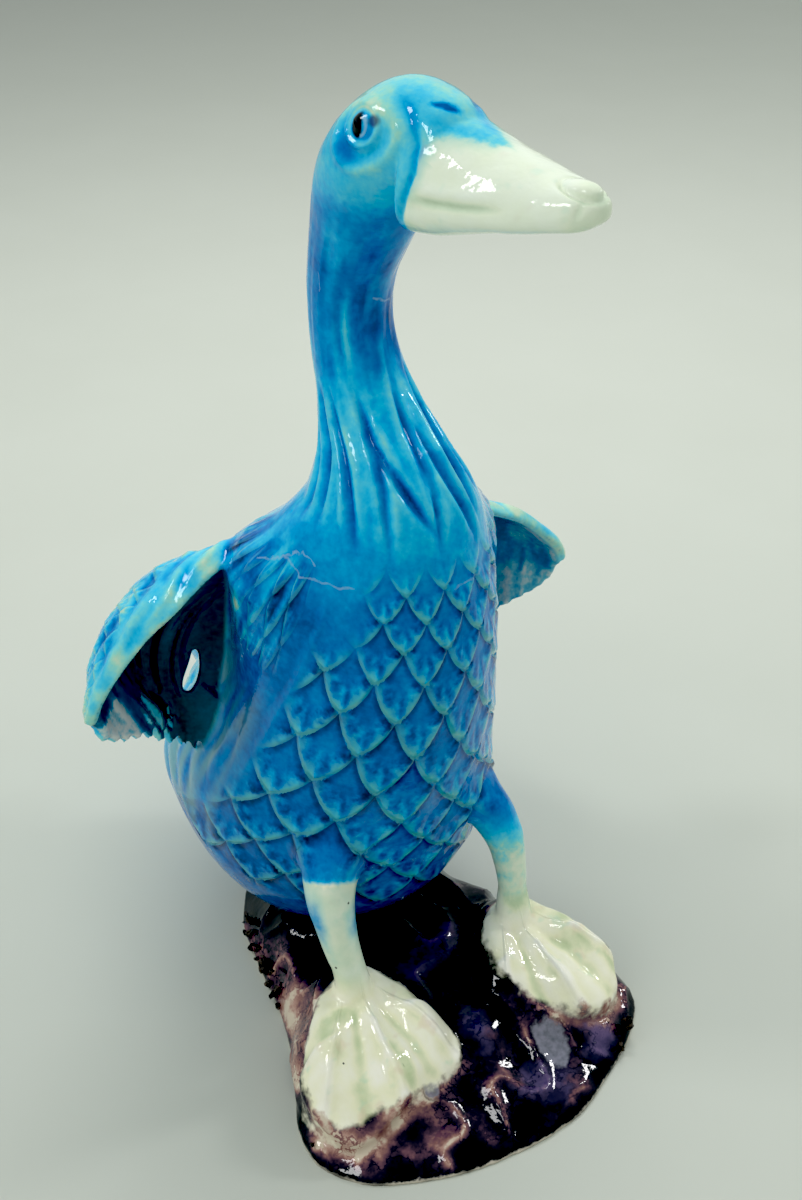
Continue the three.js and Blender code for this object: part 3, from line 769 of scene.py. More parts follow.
def carve(w):
    """Height of the carving over the smooth form, in millimetres."""
    p = w.p
    a = np.abs(w.around)
    edge = panel_edge(w.along)
    relief = 0.10 * lumps(p, 9, 1) + 0.05 * lumps(p, 3.5, 2)
    round_it, down_it, height = feathers(w)
    above, room, off = scales(round_it, down_it)
    plate = clip(1 - above, 0, 1) ** 0.8 * smooth(above, 0, 0.26) - 0.42
    quill = hump(off / 0.06) * between(above, 0.1, 0.3, 0.6, 1.0)
    barbs = sin(np.arctan2(off, 1.5 - above) * 26) * upto(above, 0.7, 1) * smooth(above, 0.1, 0.3)
    off_leg = 1 - smooth(-w.leg_gap, -2.2, -0.8) * upto(w.z, 44, 50)
    relief += height * (plate + 0.22 * quill + 0.07 * barbs) * off_leg
    # the seam beside the panel and the long feathers of the flank
    seam = hump((a - edge - 1.5) / 1.6) * between(w.along, 46, 60, 104, 112)
    body = 0.3 * seam - 0.25 * hump((a - edge - 6) / 2.5) * between(w.along, 46, 60, 100, 112)
    lane = (a - 0.32 * (w.along - 40)) / 8.5 + 0.06 * lumps(p, 10, 6)
    quills = np.abs(lane % 1 - 0.5) * 2
    flank = between(a, edge + 2, edge + 10, 118, 134) * between(w.along, 20, 30, 62, 80)
    body += flank * (0.55 * (1 - quills ** 2) - 0.3)
    # neck
    deep, high = flute_field(w)
    body += 0.35 * high - 1.05 * deep
    neck = between(w.along, 148, 156, 178, 184)
    body += neck * 0.16 * streaks(w.around / 7, w.along / 16, 7)
    relief += body * w.on_trunk * (1 - w.on_bill) * off_leg
    # head
    hx, hy, hz = w.head.T
    aside = np.abs(hx)
    head = smooth(hz, 176, 180) * smooth(hy, 4, 5)
    lid = hypot((hy - EYE[0][1]) / LID_REACH[0], (hz - EYE[0][2]) / LID_REACH[1])
    cheek = smooth(aside, 4.5, 6.5)
    socket = 0.4 * hump(w.in_socket / 0.8) - 0.55 * smooth(w.in_socket, 0.2, 2.2) * smooth(lid, 1, 1.4)
    relief += head * cheek * socket
    relief += head * cheek * (0.35 * hump((lid - 1.15) / 0.14) - 0.35 * upto(lid, 0.8, 1.05))
    groove = 0.6 * head * hump(w.cheek_gap / 0.6) * smooth(hz, 179, 183) * (1 - 0.6 * smooth(hz, 193, 196))
    relief -= groove * smooth(aside, 4, 6.5)
    # bill
    side_on = smooth(aside, 1.5, 3)
    mouth = hump((w.bill_seam - 1.4) / 0.6) * between(hy, -14, -6, 2, 5.5)
    billed = -0.5 * mouth * side_on + 0.3 * hump(w.bill_seam - 3.3) * between(hy, -14, -6, 1, 5)
    billed += -0.35 * hump(w.bill_seam / 2.2 + 1.7) * smooth(hy, -20, -8)
    relief -= 0.22 * upto(w.nostril, 0.3, 1.3) * smooth(hz, 194, 196)
    nail = hypot(hx / NAIL_GROOVE[0], (hy - NAIL[0][1]) / NAIL_GROOVE[1])
    billed -= 0.75 * hump((nail - 1) / 0.13) * smooth(w.bill_rise, 0.55, 0.8) * smooth(-hy, 15, 17.5)
    billed += 0.35 * hump(hx / 2.6) * smooth(w.bill_rise, 0.5, 0.9) * between(-hy, -8, -2, 11, 15)
    billed -= 0.4 * hump((hy + 22.3) / 0.5) * hump((w.bill_seam - 1.5) / 1.2) * side_on
    relief += w.on_bill * billed
    # wings
    u, v = w.wing_u, w.wing_v
    relief += w.wing_back * (0.3 * hump((v - 0.04) / 0.04) - 0.25 * hump((v - 0.12) / 0.035))
    curls = sin(1.9 * w.wing_rim + 30 * u + 2.2 * lumps(p, 7, 38)) * smooth(w.wing_rim, 1.5, 3.5)
    relief += 0.22 * curls * w.wing_back * upto(w.wing_rim, 9, 13)
    relief += w.wing_back * smooth(v, 0.6, 0.7) * (0.35 * (1 - barb(u) ** 2) - 0.3)
    # tail
    tail = smooth(w.y, 84, 92) * smooth(w.z, 46, 50)
    relief += tail * 0.45 * cos(w.x * 2 * math.pi / 4.4 + 0.2 * sin(w.y / 5)) * (1 - w.on_trunk * 0.6)
    # legs, feet and rock
    relief += w.on_leg * (0.12 * lumps(p, 4, 11) - 0.6 * (w.x > 0) * smooth(w.z, 20, 26))
    relief += 1.5 * hump(w.leg_gap / 2.4) * hump(w.trunk_gap / 2.4) * smooth(w.z, 38, 44)
    web = 0.18 * w.toe * sin(w.toe_reach / 1.5) - 0.6 * w.crease
    relief += w.on_foot * (web + 0.8 * w.toe ** 11 + 0.22 * lumps(p, 4, 12))
    folds = 1 - 2 * np.abs(lumps(p, 7, 16)) ** 0.6
    stone = 0.7 * lumps(p, 9, 13) + 0.75 * folds + 0.25 * lumps(p, 4.2, 14) + 0.06 * lumps(p, 1.7, 15)
    relief += w.on_rock * stone * smooth(w.z, 0.5, 3) * smooth(-w.foot_in, -0.5, 1.5)
    return relief


# ---- the skin

def make_skin():
    wings = []
    for side in (-1, 1):
        blank = mesh_piece("wing_blank", wing(side))
        cutter = mesh_piece("slot_cutter", slot(side))
        settle(blank, "slot", "BOOLEAN", operation="DIFFERENCE", object=cutter, solver="EXACT")
        wings.append((places_of(blank.data), [list(f.vertices) for f in blank.data.polygons]))
        for spent in (blank, cutter):
            bpy.data.objects.remove(spent)
    forms = [trunk(), bill(), egg(*NAIL), bar(TAIL), rock(), *wings]
    for side in (-1, 1):
        forms += [bar(LEG, side), foot(side), egg(*EYE, side)]
    skin = mesh_piece("duck_glazed", *forms)
    settle(skin, "grain", "REMESH", mode="VOXEL", voxel_size=SKIN_VOXEL * MM)
    p = places_of(skin.data)
    low = p[:, 2] < 0.3
    eased = neighbour_mean(skin.data, p, 3)
    eased[low, 2] = 0
    move_to(skin.data, eased)
    relief = carve(Placed(eased)) * smooth(eased[:, 2], 0.2, 1.2)
    out = neighbour_mean(skin.data, read(skin.data.vertices, "normal", 3), 2)
    out /= norm(out, axis=1)[:, None] + 1e-9
    done = eased + out * relief[:, None]
    done[:, 2] = where(low, 0, maximum(done[:, 2], 0))
    move_to(skin.data, done)
    triangles = 2 * len(skin.data.polygons)
    settle(skin, "thin", "DECIMATE", ratio=min(1, SKIN_TRIANGLES / triangles))
    for polygon in skin.data.polygons:
        polygon.use_smooth = True
    return skin


# ---- where each glaze lies

def keep_field(mesh, name, values):
    mesh.attributes.new(name, "FLOAT", "POINT").data.foreach_set("value", np.asarray(values, np.float32))


def keep_round_field(mesh, name, values, period):
    """A field that runs round the body, kept per face so that it never jumps across one."""
    start, count = (read(mesh.polygons, name, 1, int) for name in ("loop_start", "loop_total"))
    value = values[read(mesh.loops, "vertex_index", 1, int)]
    first = np.repeat(value[start], count)
    value = value - period * np.round((value - first) / period)
    mesh.attributes.new(name, "FLOAT", "CORNER").data.foreach_set("value", value.astype(np.float32))


def lay_glazes(mesh):
    """Works out where the three glazes lie and how thick each one is, with painted shade and painted reflection worked
    into the turquoise, and keeps it on the mesh.
    """
    w = Placed(places_of(mesh))
    keep, keep_round = partial(keep_field, mesh), partial(keep_round_field, mesh)
    p, a, l = w.p, np.abs(w.around), w.along
    hx, hy, hz = w.head.T
    aside = np.abs(hx)
    relief = carve(w)
    fine = relief - neighbour_mean(mesh, relief, 14)
    worn = clip(fine, -1, 1)      # crests are worn thin and hollows hold more glaze
    round_it, down_it, height = feathers(w)
    keep_round("feather_round", round_it, 16)
    keep("feather_down", down_it)
    keep("feather_cut", height)
    deep, high = flute_field(w)

    # turquoise, from thin (0) to pooled (1); some terms below add painted shade and painted reflection, marked where
    # they stand
    blue = 0.62 + 0.05 * lumps(p, 16, 21) + 0.05 * lumps(p, 6, 22)
    # a darker band on the body's sides beside the wings: painted shade
    blue += 0.08 * hump((a - 76) / 12) * between(l, 50, 64, 100, 114)
    blue -= 0.15 * between(l, 106, 122, 150, 160)
    blue += 0.04 * between(l, 150, 160, 172, 182)
    angle = radians(w.around)
    streak = stack([sin(angle) * 5, cos(angle) * 5, l / 9], 1)
    necked = between(l, 120, 135, 178, 188)
    blue += necked * (0.11 * lumps(streak, 1, 26) + 0.08 * lumps(streak * 2.3, 1, 29) - 0.05)
    for at, up, wide, tall, change in NECK_MARKS:
        blue += change * hump(w.round_neck(at) / wide) * hump((l - up) / tall)
    shoulder = between(a, 72, 80, 130, 140) * between(l, 86, 92, 114, 122)
    blue += 0.24 * shoulder * streaks(w.around / 2.4, l / 6, 37)
    blue += shoulder * (0.06 * cos(2 * np.pi * w.around / 9.5) * upto(lumps(p, 4, 30), 0.2, 0.6) - 0.03)
    # darker low under the belly: painted shade
    blue += 0.08 * upto(l, 24, 40)
    blue += 0.32 * deep - 0.09 * high - (0.14 - 0.06 * height) * worn
    # the low flank painted lighter: a painted reflection of the pale floor
    blue -= 0.10 * smooth(a, 86, 110) * upto(l, 60, 84)
    face = smooth(hz, 176, 182)
    # the face paler towards the crown: partly thinner glaze, partly a painted sheen
    brow = 0.31 - 0.16 * smooth(hz, 191, 198) + 0.05 * lumps(p, 4, 23) + 0.1 * upto(hz, 180, 186)
    blue = mix(blue, brow - 0.03 + 0.14 * hump((hx + 2.6) / 1.5) * hump((hy - 12) / 4) * smooth(hz, 195, 197), face)
    pool = hump(hypot(hy - 20.5, hz - 189) / 3.0) * smooth(aside, 4, 6)
    rim = hump((w.in_socket - 0.1) / 0.7) * smooth(aside, 4.5, 6.5)
    blue += face * (0.32 * pool + 0.10 * smooth(w.in_socket, 0, 2) * smooth(aside, 4, 6) - 0.1 * rim)
    streak_at = (aside - interp(hy, [-3, 1, 5.6, 9, 12], [0.8, 2.2, 4.6, 6.2, 3.4])) / 1.3
    blue += face * 0.2 * hump(streak_at) * between(hy, -4, 0, 10, 13) * (w.bill_rise > 0.4)
    blue += face * 0.22 * hump((w.cheek_gap - 0.2) / 0.5) * smooth(aside, 3, 5) * smooth(hz, 182, 187)
    nostril = (0.5 * upto(w.nostril, 0.6, 1.3) + 0.12 * hump(w.nostril / 2.2)) * smooth(hz, 194, 196)
    blue += face * nostril * where(hx > 3, 0.3, 1)
    u, v = w.wing_u, w.wing_v
    hollow = smooth(w.wing_rim, 0.2, 0.9) * w.wing_front
    back = 0.29 + 0.22 * lumps(p, 5, 24) + 0.12 * lumps(p, 2.4, 25) - 0.45 * worn
    back -= 0.10 * upto(w.wing_rim, 2, 7) - 0.12 * hump((w.wing_rim - 8) / 3) * smooth(lumps(p, 6, 34), -0.4, 0.2)
    band = 0.12 + 0.10 * lumps(p, 4, 25)
    blue = mix(blue, mix(back, band, upto(w.wing_rim + 0.5 * lumps(p, 3, 35), 0.9, 1.8)), w.on_wing)
    fall = streaks(u * 30, v * 4, 28)
    # the wing hollows' tone: pooled glaze with painted shade, darker in the near wing than the far one and darker again
    # in its inner part
    tone = where(w.right, 0.36, 0.74) + 0.08 * lumps(p, 6, 27) + 0.16 * fall - 0.15 * worn
    tone -= where(w.right, 0.12 * upto(u, 0.25, 0.5) * smooth(v, 0.3, 0.7), 0)
    tone += 0.20 * hump((w.wing_rim - 1.6) / 0.9) + 0.14 * smooth(v, 0.6, 0.85) * smooth(u, 0.3, 0.5)
    tone -= 0.12 * hump((u - 0.35) / 0.15)
    # the near wing's lowest feather tips painted pale: a painted reflection of the floor
    painted_tip_reflection = smooth(v - 0.07 * barb(u) ** 2, 0.76, 0.80) * smooth(u, 0.60, 0.68) * w.right
    tone = mix(tone, 1.0 - 0.10 * barb(u) ** 3, painted_tip_reflection)
    keep("hollow", hollow * w.on_wing)
    keep("hollow_glaze_and_shade", tone)
    far_leg = (w.x > 0) & (w.z < KNEE_Z) & (w.leg_gap < 2.5)
    blue = where(far_leg, mix(0.2, blue, smooth(w.z, 36, 47)), blue)
    blue += 0.14 * hump((w.leg_gap - 1.6) / 1.0) * smooth(w.z, 36, 42) * (w.z < KNEE_Z)
    # the low flank painted lighter: a painted reflection of the pale floor
    blue -= 0.10 * smooth(a, 80, 100) * between(l, 24, 34, 60, 74)
    keep("blue_depth_and_shade", blue)
    # the low flank's pale streaks: a painted reflection of the pale floor laid over the glaze's own streaks
    low_flank = smooth(a, 64, 82) * (1 - 0.8 * smooth(a, 118, 140)) * between(l, 24, 34, 64, 84)
    streaked = smooth(streaks(w.around / 2.4, l / 14, 36) + 0.4 * worn, -0.7, 0.5)
    keep("flank_sheen_and_streaks", low_flank * w.on_trunk * (1 - w.on_wing) * streaked)

    # how far past the edge of the cream glaze the blue begins, in widths of the soft edge
    cheek_y, cheek_z = zip(*CHEEK_LINE[::-1])
    cheek = interp(hz, cheek_z, cheek_y) - 0.6
    ridge = interp(hy, *RIDGE_HALF)
    nose = maximum((hy - cheek) / 0.8, where(w.bill_rise > 0.5, (ridge - aside) / 1.9, -9))
    edge = where((hz > THROAT_Z) & (hy < 14), nose, 9.0)
    run_off = 0.5 * upto(cheek - hy, 0.2, 2.6) * smooth(hz, 181, 188)
    run_off += 0.4 * upto(aside - ridge, 0, 3) * smooth(hy, -9, -1)
    run_off = where(hz > THROAT_Z, run_off, 0.0)
    top = where(w.right, 44.6, 35.0)
    soft = where(w.right, 1.3, 4.0)
    outer = hump((w.z - 36) / 4.5) * smooth(-w.leg_side, 0.1, 0.6)
    outer += 0.7 * hump((w.z - 35) / 3.5) * smooth(w.leg_side, 0.4, 0.9)
    rise = where(w.right, w.z + 0.5 * lumps(p, 2.6, 39) + 0.366 * (w.x + 21.2) + 0.613 * (w.y - 5.1), w.z)
    shin = maximum((w.leg_gap - 0.7) / 0.4, (rise - top) / soft)
    run_off = where((w.leg_gap < 2) & (w.z < 44), 0.30 * smooth(w.z, 18, 26) + 0.7 * outer * w.right, run_off)
    keep("run_off", clip(run_off, 0, 1))
    shin = where((w.leg_gap < 2.5) & (w.z < KNEE_Z), shin, 9)
    edge = minimum(edge, shin)
    edge = where((w.z < 23) & (w.trunk_gap > 1.2), -3, edge)
    keep("blue_edge", clip(edge, -9, 9))

    # how far into the aubergine glaze a place lies, in millimetres, and how thick it is there
    stone = where(w.z < FOOT_Z, -w.foot_in - 0.2, -5.0)
    stone += 3.0 * hump(norm(p - (-31, -24.5, 8.5), axis=1) / 7)
    stone = where(w.leg_gap < 1.2, minimum(stone, w.leg_gap - 1), stone)
    stone = where((w.trunk_gap < 1.0) & (w.z > 4), minimum(stone, w.trunk_gap * 3 - 1.5), stone)
    keep("stone_edge", stone)
    front = smooth(-w.y, 8, 26)
    wash = 0.84 - 0.14 * front - (0.25 + 0.25 * front) * clip(fine * 1.4, -1, 1) + 0.20 * lumps(p, 6, 31)
    wash += 0.25 * upto(w.z, 0.8, 3.5) + 0.14 * lumps(p, 3, 32) * front
    wash -= 0.30 * hump(w.foot_in / 1.8) * front
    wash -= 0.12 * smooth(-w.x, 26, 30) * smooth(w.y, 0, 14)
    wash -= 0.36 * smooth(-w.x, 22, 28) * smooth(w.y, -14, -4) + 0.14 * hump((stone - 0.6) / 1.3) * front
    for place, reach, thinner in THIN_SPOTS:
        wash -= thinner * hump(norm(p - place, axis=1) / reach)
    keep("stone_depth", wash)
    for name, spots in (("grey_pool", GREY_POOLS), ("violet", VIOLETS)):
        pool = np.full(len(p), -1.0)
        for place, reach in spots:
            pool = maximum(pool, 1 - norm((p - place) / reach, axis=1))
        keep(name, pool)
    mouth = 0.36 * hump((w.bill_seam - 1.4) / 1.2) * smooth(hy, -12, -4) + 0.3 * upto(w.bill_seam, -4.5, -1.5)
    webs = 0.11 * w.crease + 0.25 * smooth(lumps(p, 5, 33), 0.1, 0.6)
    keep("green", (mouth + 0.2 * smooth(-hy, 19, 23)) * w.on_bill + webs * w.on_foot)
    keep_round("body_round", w.around, 360)
    keep("body_up", l)
    keep("fine_relief", fine)


# ---- materials

class Num:
    """A number flowing through a material's nodes; arithmetic on it adds nodes."""

    def __init__(self, paint, socket):
        self.paint, self.socket = paint, socket

    def __neg__(self):
        return self * -1

    def __abs__(self):
        return self.paint.math("ABSOLUTE", self)

    def __lt__(self, other):
        return self.paint.math("LESS_THAN", self, other)

    def __gt__(self, other):
        return self.paint.math("GREATER_THAN", self, other)


for sign, operation in (("add", "ADD"), ("sub", "SUBTRACT"), ("mul", "MULTIPLY"), ("truediv", "DIVIDE"),
                        ("pow", "POWER"), ("mod", "FLOORED_MODULO")):
    setattr(Num, f"__{sign}__", lambda a, b, o=operation: a.paint.math(o, a, b))
    setattr(Num, f"__r{sign}__", lambda a, b, o=operation: a.paint.math(o, b, a))


def add_node(tree, kind, settings=None, values=None):
    """Adds a node: first its settings, then the values or links of its sockets."""
    made = tree.nodes.new(kind)
    for key, value in (settings or {}).items():
        setattr(made, key, value)
    for key, value in (values or {}).items():
        value = getattr(value, "socket", value)
        if isinstance(value, bpy.types.NodeSocket):
            tree.links.new(value, made.inputs[key])
        else:
            made.inputs[key].default_value = value
    return made


class Paint:
    """Builds one material."""

    def __init__(self, name):
        self.material = bpy.data.materials.new(name)
        self.material.use_nodes = True
        self.tree = self.material.node_tree
        self.tree.nodes.clear()

    def node(self, kind, settings=None, values=None):
        return add_node(self.tree, kind, settings, values)

    def math(self, operation, *values):
        made = self.node("ShaderNodeMath", {"operation": operation}, dict(enumerate(values)))
        return Num(self, made.outputs[0])

    def where(self, test, yes, no):
        return no + (yes - no) * test

    def smooth(self, x, low, high):
        values = {"Value": x, "From Min": low, "From Max": high}
        made = self.node("ShaderNodeMapRange", {"interpolation_type": "SMOOTHSTEP"}, values)
        return Num(self, made.outputs[0])

    def upto(self, x, low, high):
        return 1 - self.smooth(x, low, high)

    def between(self, x, low, full, late, gone):
        return self.smooth(x, low, full) * self.upto(x, late, gone)

    def hump(self, x):
        return self.upto(abs(x), 0.0, 2.0)

    def oval(self, a, b, centre, reach):
        """How far out places (a, b) lie in an oval, one on its edge."""
        return self.sqrt(((a - centre[0]) / reach[0]) ** 2 + ((b - centre[1]) / reach[1]) ** 2)

    def field(self, name):
        return Num(self, self.node("ShaderNodeAttribute", {"attribute_name": name}).outputs["Fac"])

    def place(self, size=1.0, seed=0):
        """Object coordinates in millimetres over size, shifted by seed."""
        values = {0: self.node("ShaderNodeTexCoord").outputs["Object"], 1: (1 / (size * MM),) * 3, 2: (seed * 7.3,) * 3}
        return self.node("ShaderNodeVectorMath", {"operation": "MULTIPLY_ADD"}, values).outputs[0]

    def parts(self):
        """Object coordinates in millimetres, one by one."""
        return [Num(self, out) for out in self.node("ShaderNodeSeparateXYZ", {}, {0: self.place()}).outputs]

    def head_place(self):
        """Object coordinates in millimetres with the head's turn taken out."""
        x, y, z = self.parts()
        cos, sin = math.cos(math.radians(HEAD_YAW)), math.sin(math.radians(HEAD_YAW))
        ahead = y - HEAD_AXIS_Y
        return x * cos + ahead * sin, HEAD_AXIS_Y - x * sin + ahead * cos, z

    def noise(self, size, seed, detail=2.0):
        """Cloudy noise between about -1 and 1, with forms of about size millimetres."""
        values = {"Vector": self.place(size, seed), "Scale": 1.0, "Detail": detail}
        return Num(self, self.node("ShaderNodeTexNoise", {}, values).outputs["Fac"]) * 4 - 2

    def ramp(self, x, *stops):
        made = self.node("ShaderNodeValToRGB", {}, {"Fac": x})
        line = made.color_ramp.elements
        while len(line) < len(stops):
            line.new(0.5)
        for stop, (at, colour) in zip(line, stops):
            stop.position = at
            stop.color = srgb(*colour)
        return made.outputs["Color"]

    def blend(self, share, a, b):
        a, b = (srgb(*c) if isinstance(c, tuple) else c for c in (a, b))
        made = self.node("ShaderNodeMix", {"data_type": "RGBA", "clamp_factor": True}, {"Factor": share, 6: a, 7: b})
        return made.outputs[2]

    def finish(self, colour, roughness, height=None, ior=1.5):
        values = {"Base Color": colour, "Roughness": roughness, "IOR": ior}
        if height is not None:
            bump = self.node("ShaderNodeBump", {}, {"Height": height, "Distance": MM, "Strength": 1.0})
            values["Normal"] = bump.outputs[0]
        shader = self.node("ShaderNodeBsdfPrincipled", {}, values)
        self.node("ShaderNodeOutputMaterial", {}, {"Surface": shader.outputs[0]})
        return self.material


for operation in ("FLOOR", "ROUND", "SIGN", "SQRT", "SINE", "MINIMUM", "MAXIMUM", "ARCTAN2"):
    setattr(Paint, operation.lower(), partialmethod(Paint.math, operation))


def srgb(*c):
    return tuple(v / 12.92 if v <= 0.04045 else ((v + 0.055) / 1.055) ** 2.4 for v in (k / 255 for k in c)) + (1,)


# the glazes' colours, from thin to pooled; the wing hollows' blue runs from pooled glaze in painted shade to a painted
# pale reflection
BLUE = ((0.0, (200, 226, 200)), (0.09, (158, 222, 208)), (0.18, (122, 216, 226)), (0.28, (88, 204, 234)),
        (0.38, (56, 191, 234)), (0.48, (28, 166, 226)), (0.58, (14, 142, 210)), (0.68, (6, 118, 194)),
        (0.78, (4, 92, 164)), (0.9, (3, 64, 118)), (1.0, (3, 40, 72)))
HOLLOW_SHADED_BLUE = ((0.0, (3, 44, 56)), (0.3, (8, 80, 104)), (0.55, (16, 108, 142)), (0.75, (32, 145, 192)),
             (0.88, (110, 190, 205)), (1.0, (214, 220, 214)))
CREAM = ((0.0, (254, 252, 238)), (0.3, (244, 243, 210)), (0.5, (208, 219, 178)), (0.75, (164, 182, 124)),
         (1.0, (122, 132, 78)))
RUN_OFF = ((0.15, (140, 208, 180)), (0.5, (104, 200, 205)), (0.9, (44, 160, 214)))
AUBERGINE = ((0.0, (214, 200, 180)), (0.14, (184, 148, 136)), (0.28, (148, 110, 104)), (0.42, (116, 82, 92)),
             (0.55, (80, 58, 74)), (0.66, (50, 40, 54)), (0.8, (36, 30, 42)), (1.0, (22, 18, 26)))
VIOLET = ((0.3, (116, 100, 140)), (0.75, (80, 70, 104)), (1.0, (48, 42, 68)))
GREY = ((0.0, (104, 108, 116)), (1.0, (154, 152, 168)))
GRIT = ((0.0, (16, 13, 15)), (0.45, (40, 32, 32)), (0.75, (88, 74, 66)), (1.0, (140, 122, 104)))
# fine breaks in the glaze, as bent lines: how far round (times 0.36) and how far up
GLAZE_BREAKS = [
    ((-36, 112.2), (-33, 115.3), (-30.7, 118.3), (-27.1, 116)),
    ((-33, 115.3), (-28.6, 113), (-24.8, 113.1), (-18.9, 113.6)),
    ((2, 113), (10, 113.4)), ((-3, 169), (10, 166.7)), ((-31, 169.5), (-29.5, 167)),
]


def paint_glazes():
    g = Paint("three_glazes")
    broad, patchy, spotty = g.noise(9, 1), g.noise(3.4, 2, 3), g.noise(1.2, 3)

    # the feathers' pale edges, dark recesses (pooled glaze and painted shade) and quill strokes
    cut = g.field("feather_cut")
    above, room, off = scales(g.field("feather_round"), g.field("feather_down"), g)
    above = above + 0.035 * spotty + 0.03 * patchy
    rim = g.between(above, 0.0, 0.06, 0.14, 0.48 + 0.12 * spotty) * g.smooth(patchy + 0.5 * spotty, -1.8, 0.4)
    # the dark band in each recess: pooled glaze and painted shade
    recess = g.upto(room, 0.0, 0.42)
    quill = g.hump(off / 0.03) * g.between(above, 0.12, 0.25, 0.5, 0.75) * g.smooth(spotty, -0.8, 0.6)
    fan = g.sine(g.arctan2(off, 1.25 - above) * 18 + patchy * 2) + 0.6 * spotty
    fan = fan * g.between(above, 0.04, 0.2, 0.6, 1.0)
    flank = abs(off) * 2
    tip = 1 - 0.6 * g.smooth(flank, 0.5, 1.0)
    depth = g.field("blue_depth_and_shade") + cut * (0.19 * recess - 0.30 * rim * tip - 0.2 * quill + 0.12 * fan + 0.03)
    depth = depth + 0.06 * patchy + 0.05 * spotty + 0.03 * broad

    # the eye: a dark pupil set back in a blue ball, with a painted highlight for its glint
    x, y, z = g.head_place()
    aside = g.smooth(abs(x), 5.5, 6.5) * g.smooth(z, 180.0, 182.0)
    lid = g.oval(y, z, *LIDS)
    ball = g.upto(lid, 0.75, 1.0) * aside
    pupil = g.upto(g.oval(y, z, *PUPIL), 0.75, 1.05)
    glint = g.hump((g.oval(y, z, *GLINT) - 0.75) / 0.12) * (y < 17.4)
    corner = g.upto(g.oval(y, z, *EYE_CORNER), 0.5, 1.2)
    depth = depth - 0.13 * g.hump((lid - 1.12) / 0.09) * aside + 0.24 * ball

    edge = g.field("blue_edge") + 0.3 * patchy + 0.2 * spotty
    depth = depth * g.smooth(edge, -1.4, 1.4)
    colour = g.ramp(depth, *BLUE)
    colour = g.blend(ball * pupil, colour, (14, 12, 20))
    # the glint: a painted highlight
    colour = g.blend(glint * ball * 0.75, colour, (150, 196, 222))
    colour = g.blend(corner * aside * 0.8, colour, (52, 44, 104))
    hem = g.between(above, -0.03, 0.05, 0.12, 0.40 + 0.22 * flank - 0.18 * fan)
    hem = hem * tip * g.smooth(patchy + 0.4 * spotty, -2.0, 0.2)
    colour = g.blend(hem * cut * 0.80, colour, (100, 176, 170))
    # the low flank: a painted reflection of the pale floor, streaked like the glaze
    colour = g.blend(g.field("flank_sheen_and_streaks") * 0.62, colour, (150, 190, 176))
    # the wing hollows: pooled glaze in painted shade, and on the near wing's lowest tips a painted pale reflection of
    # the floor
    deep = g.ramp(g.field("hollow_glaze_and_shade") + 0.06 * patchy + 0.08 * spotty, *HOLLOW_SHADED_BLUE)
    colour = g.blend(g.field("hollow"), colour, deep)

    # fine pale breaks in the glaze of the breast
    round_it, up = g.field("body_round") * 0.36 + 0.6 * spotty, g.field("body_up") + 0.5 * patchy
    web = 0.0
    for line in GLAZE_BREAKS:
        web = g.maximum(web, g.upto(line_gap(round_it, up, line, g), 0.0, 0.42))
    colour = g.blend(web * g.smooth(spotty, -1.4, 0.6) * 0.6, colour, (160, 194, 222))

    # cream
    fine = g.field("fine_relief")
    cream = g.ramp(0.18 - 0.6 * fine + g.field("green") + 0.07 * patchy + 0.06 * broad, *CREAM)
    warm = g.smooth(g.noise(5, 8, 2), 0.35, 1.0) * 0.35
    cream = g.blend(warm, cream, (222, 196, 170))
    cream = g.blend(g.smooth(g.noise(4, 9, 2), 0.4, 1.1) * 0.3, cream, (150, 214, 190))
    cream = g.blend(g.smooth(z, 100, 150) * 0.5, cream, (232, 252, 238))
    run_off = g.field("run_off") * (1 + 0.25 * patchy)
    cream = g.blend(run_off, cream, g.ramp(run_off, *RUN_OFF))
    colour = g.blend(g.smooth(edge, -0.5, 0.5), cream, colour)

    # aubergine
    stone = g.field("stone_edge") + 0.9 * patchy + 0.2 * spotty
    wash = g.field("stone_depth") + 0.12 * patchy + 0.08 * spotty + 0.08 * broad
    wash = 1.4 * wash - 0.27 + 0.3 * g.upto(abs(patchy + 0.5 * spotty), 0.0, 0.25) * g.smooth(broad, -0.8, 0.4)
    aubergine = g.ramp(wash, *AUBERGINE)
    violet = g.smooth(g.field("violet") + 0.35 * patchy, 0.1, 0.6)
    aubergine = g.blend(violet * 0.85, aubergine, g.ramp(wash, *VIOLET))
    pool = g.field("grey_pool") + 0.20 * patchy + 0.09 * spotty + 0.05
    aubergine = g.blend(g.hump((pool - 0.1) / 0.09) * 0.6, aubergine, (34, 26, 44))
    aubergine = g.blend(g.smooth(pool, 0.12, 0.35) * 0.9, aubergine, g.ramp(0.5 + 0.4 * spotty, *GREY))
    bare = g.upto(z + 0.3 * spotty, 0.45, 0.95) * g.smooth(g.noise(7, 12, 1), -0.8, 0.3)
    aubergine = g.blend(bare, aubergine, (214, 205, 190))
    shift = g.smooth(stone, -0.9, 0.5)
    colour = g.blend(shift, colour, aubergine)

    # pinholes in the cream and on the rock
    holes = g.node("ShaderNodeTexVoronoi", {}, {"Vector": g.place(4.2, 3), "Scale": 1.0})
    pin = (Num(g, holes.outputs["Distance"]) < 0.07) * (Num(g, holes.outputs["Color"]) > 0.6)
    pin = pin * (z < 40) * g.maximum(shift, g.upto(edge, -0.5, 0.0))
    colour = g.blend(pin * 0.85, colour, (16, 14, 18))

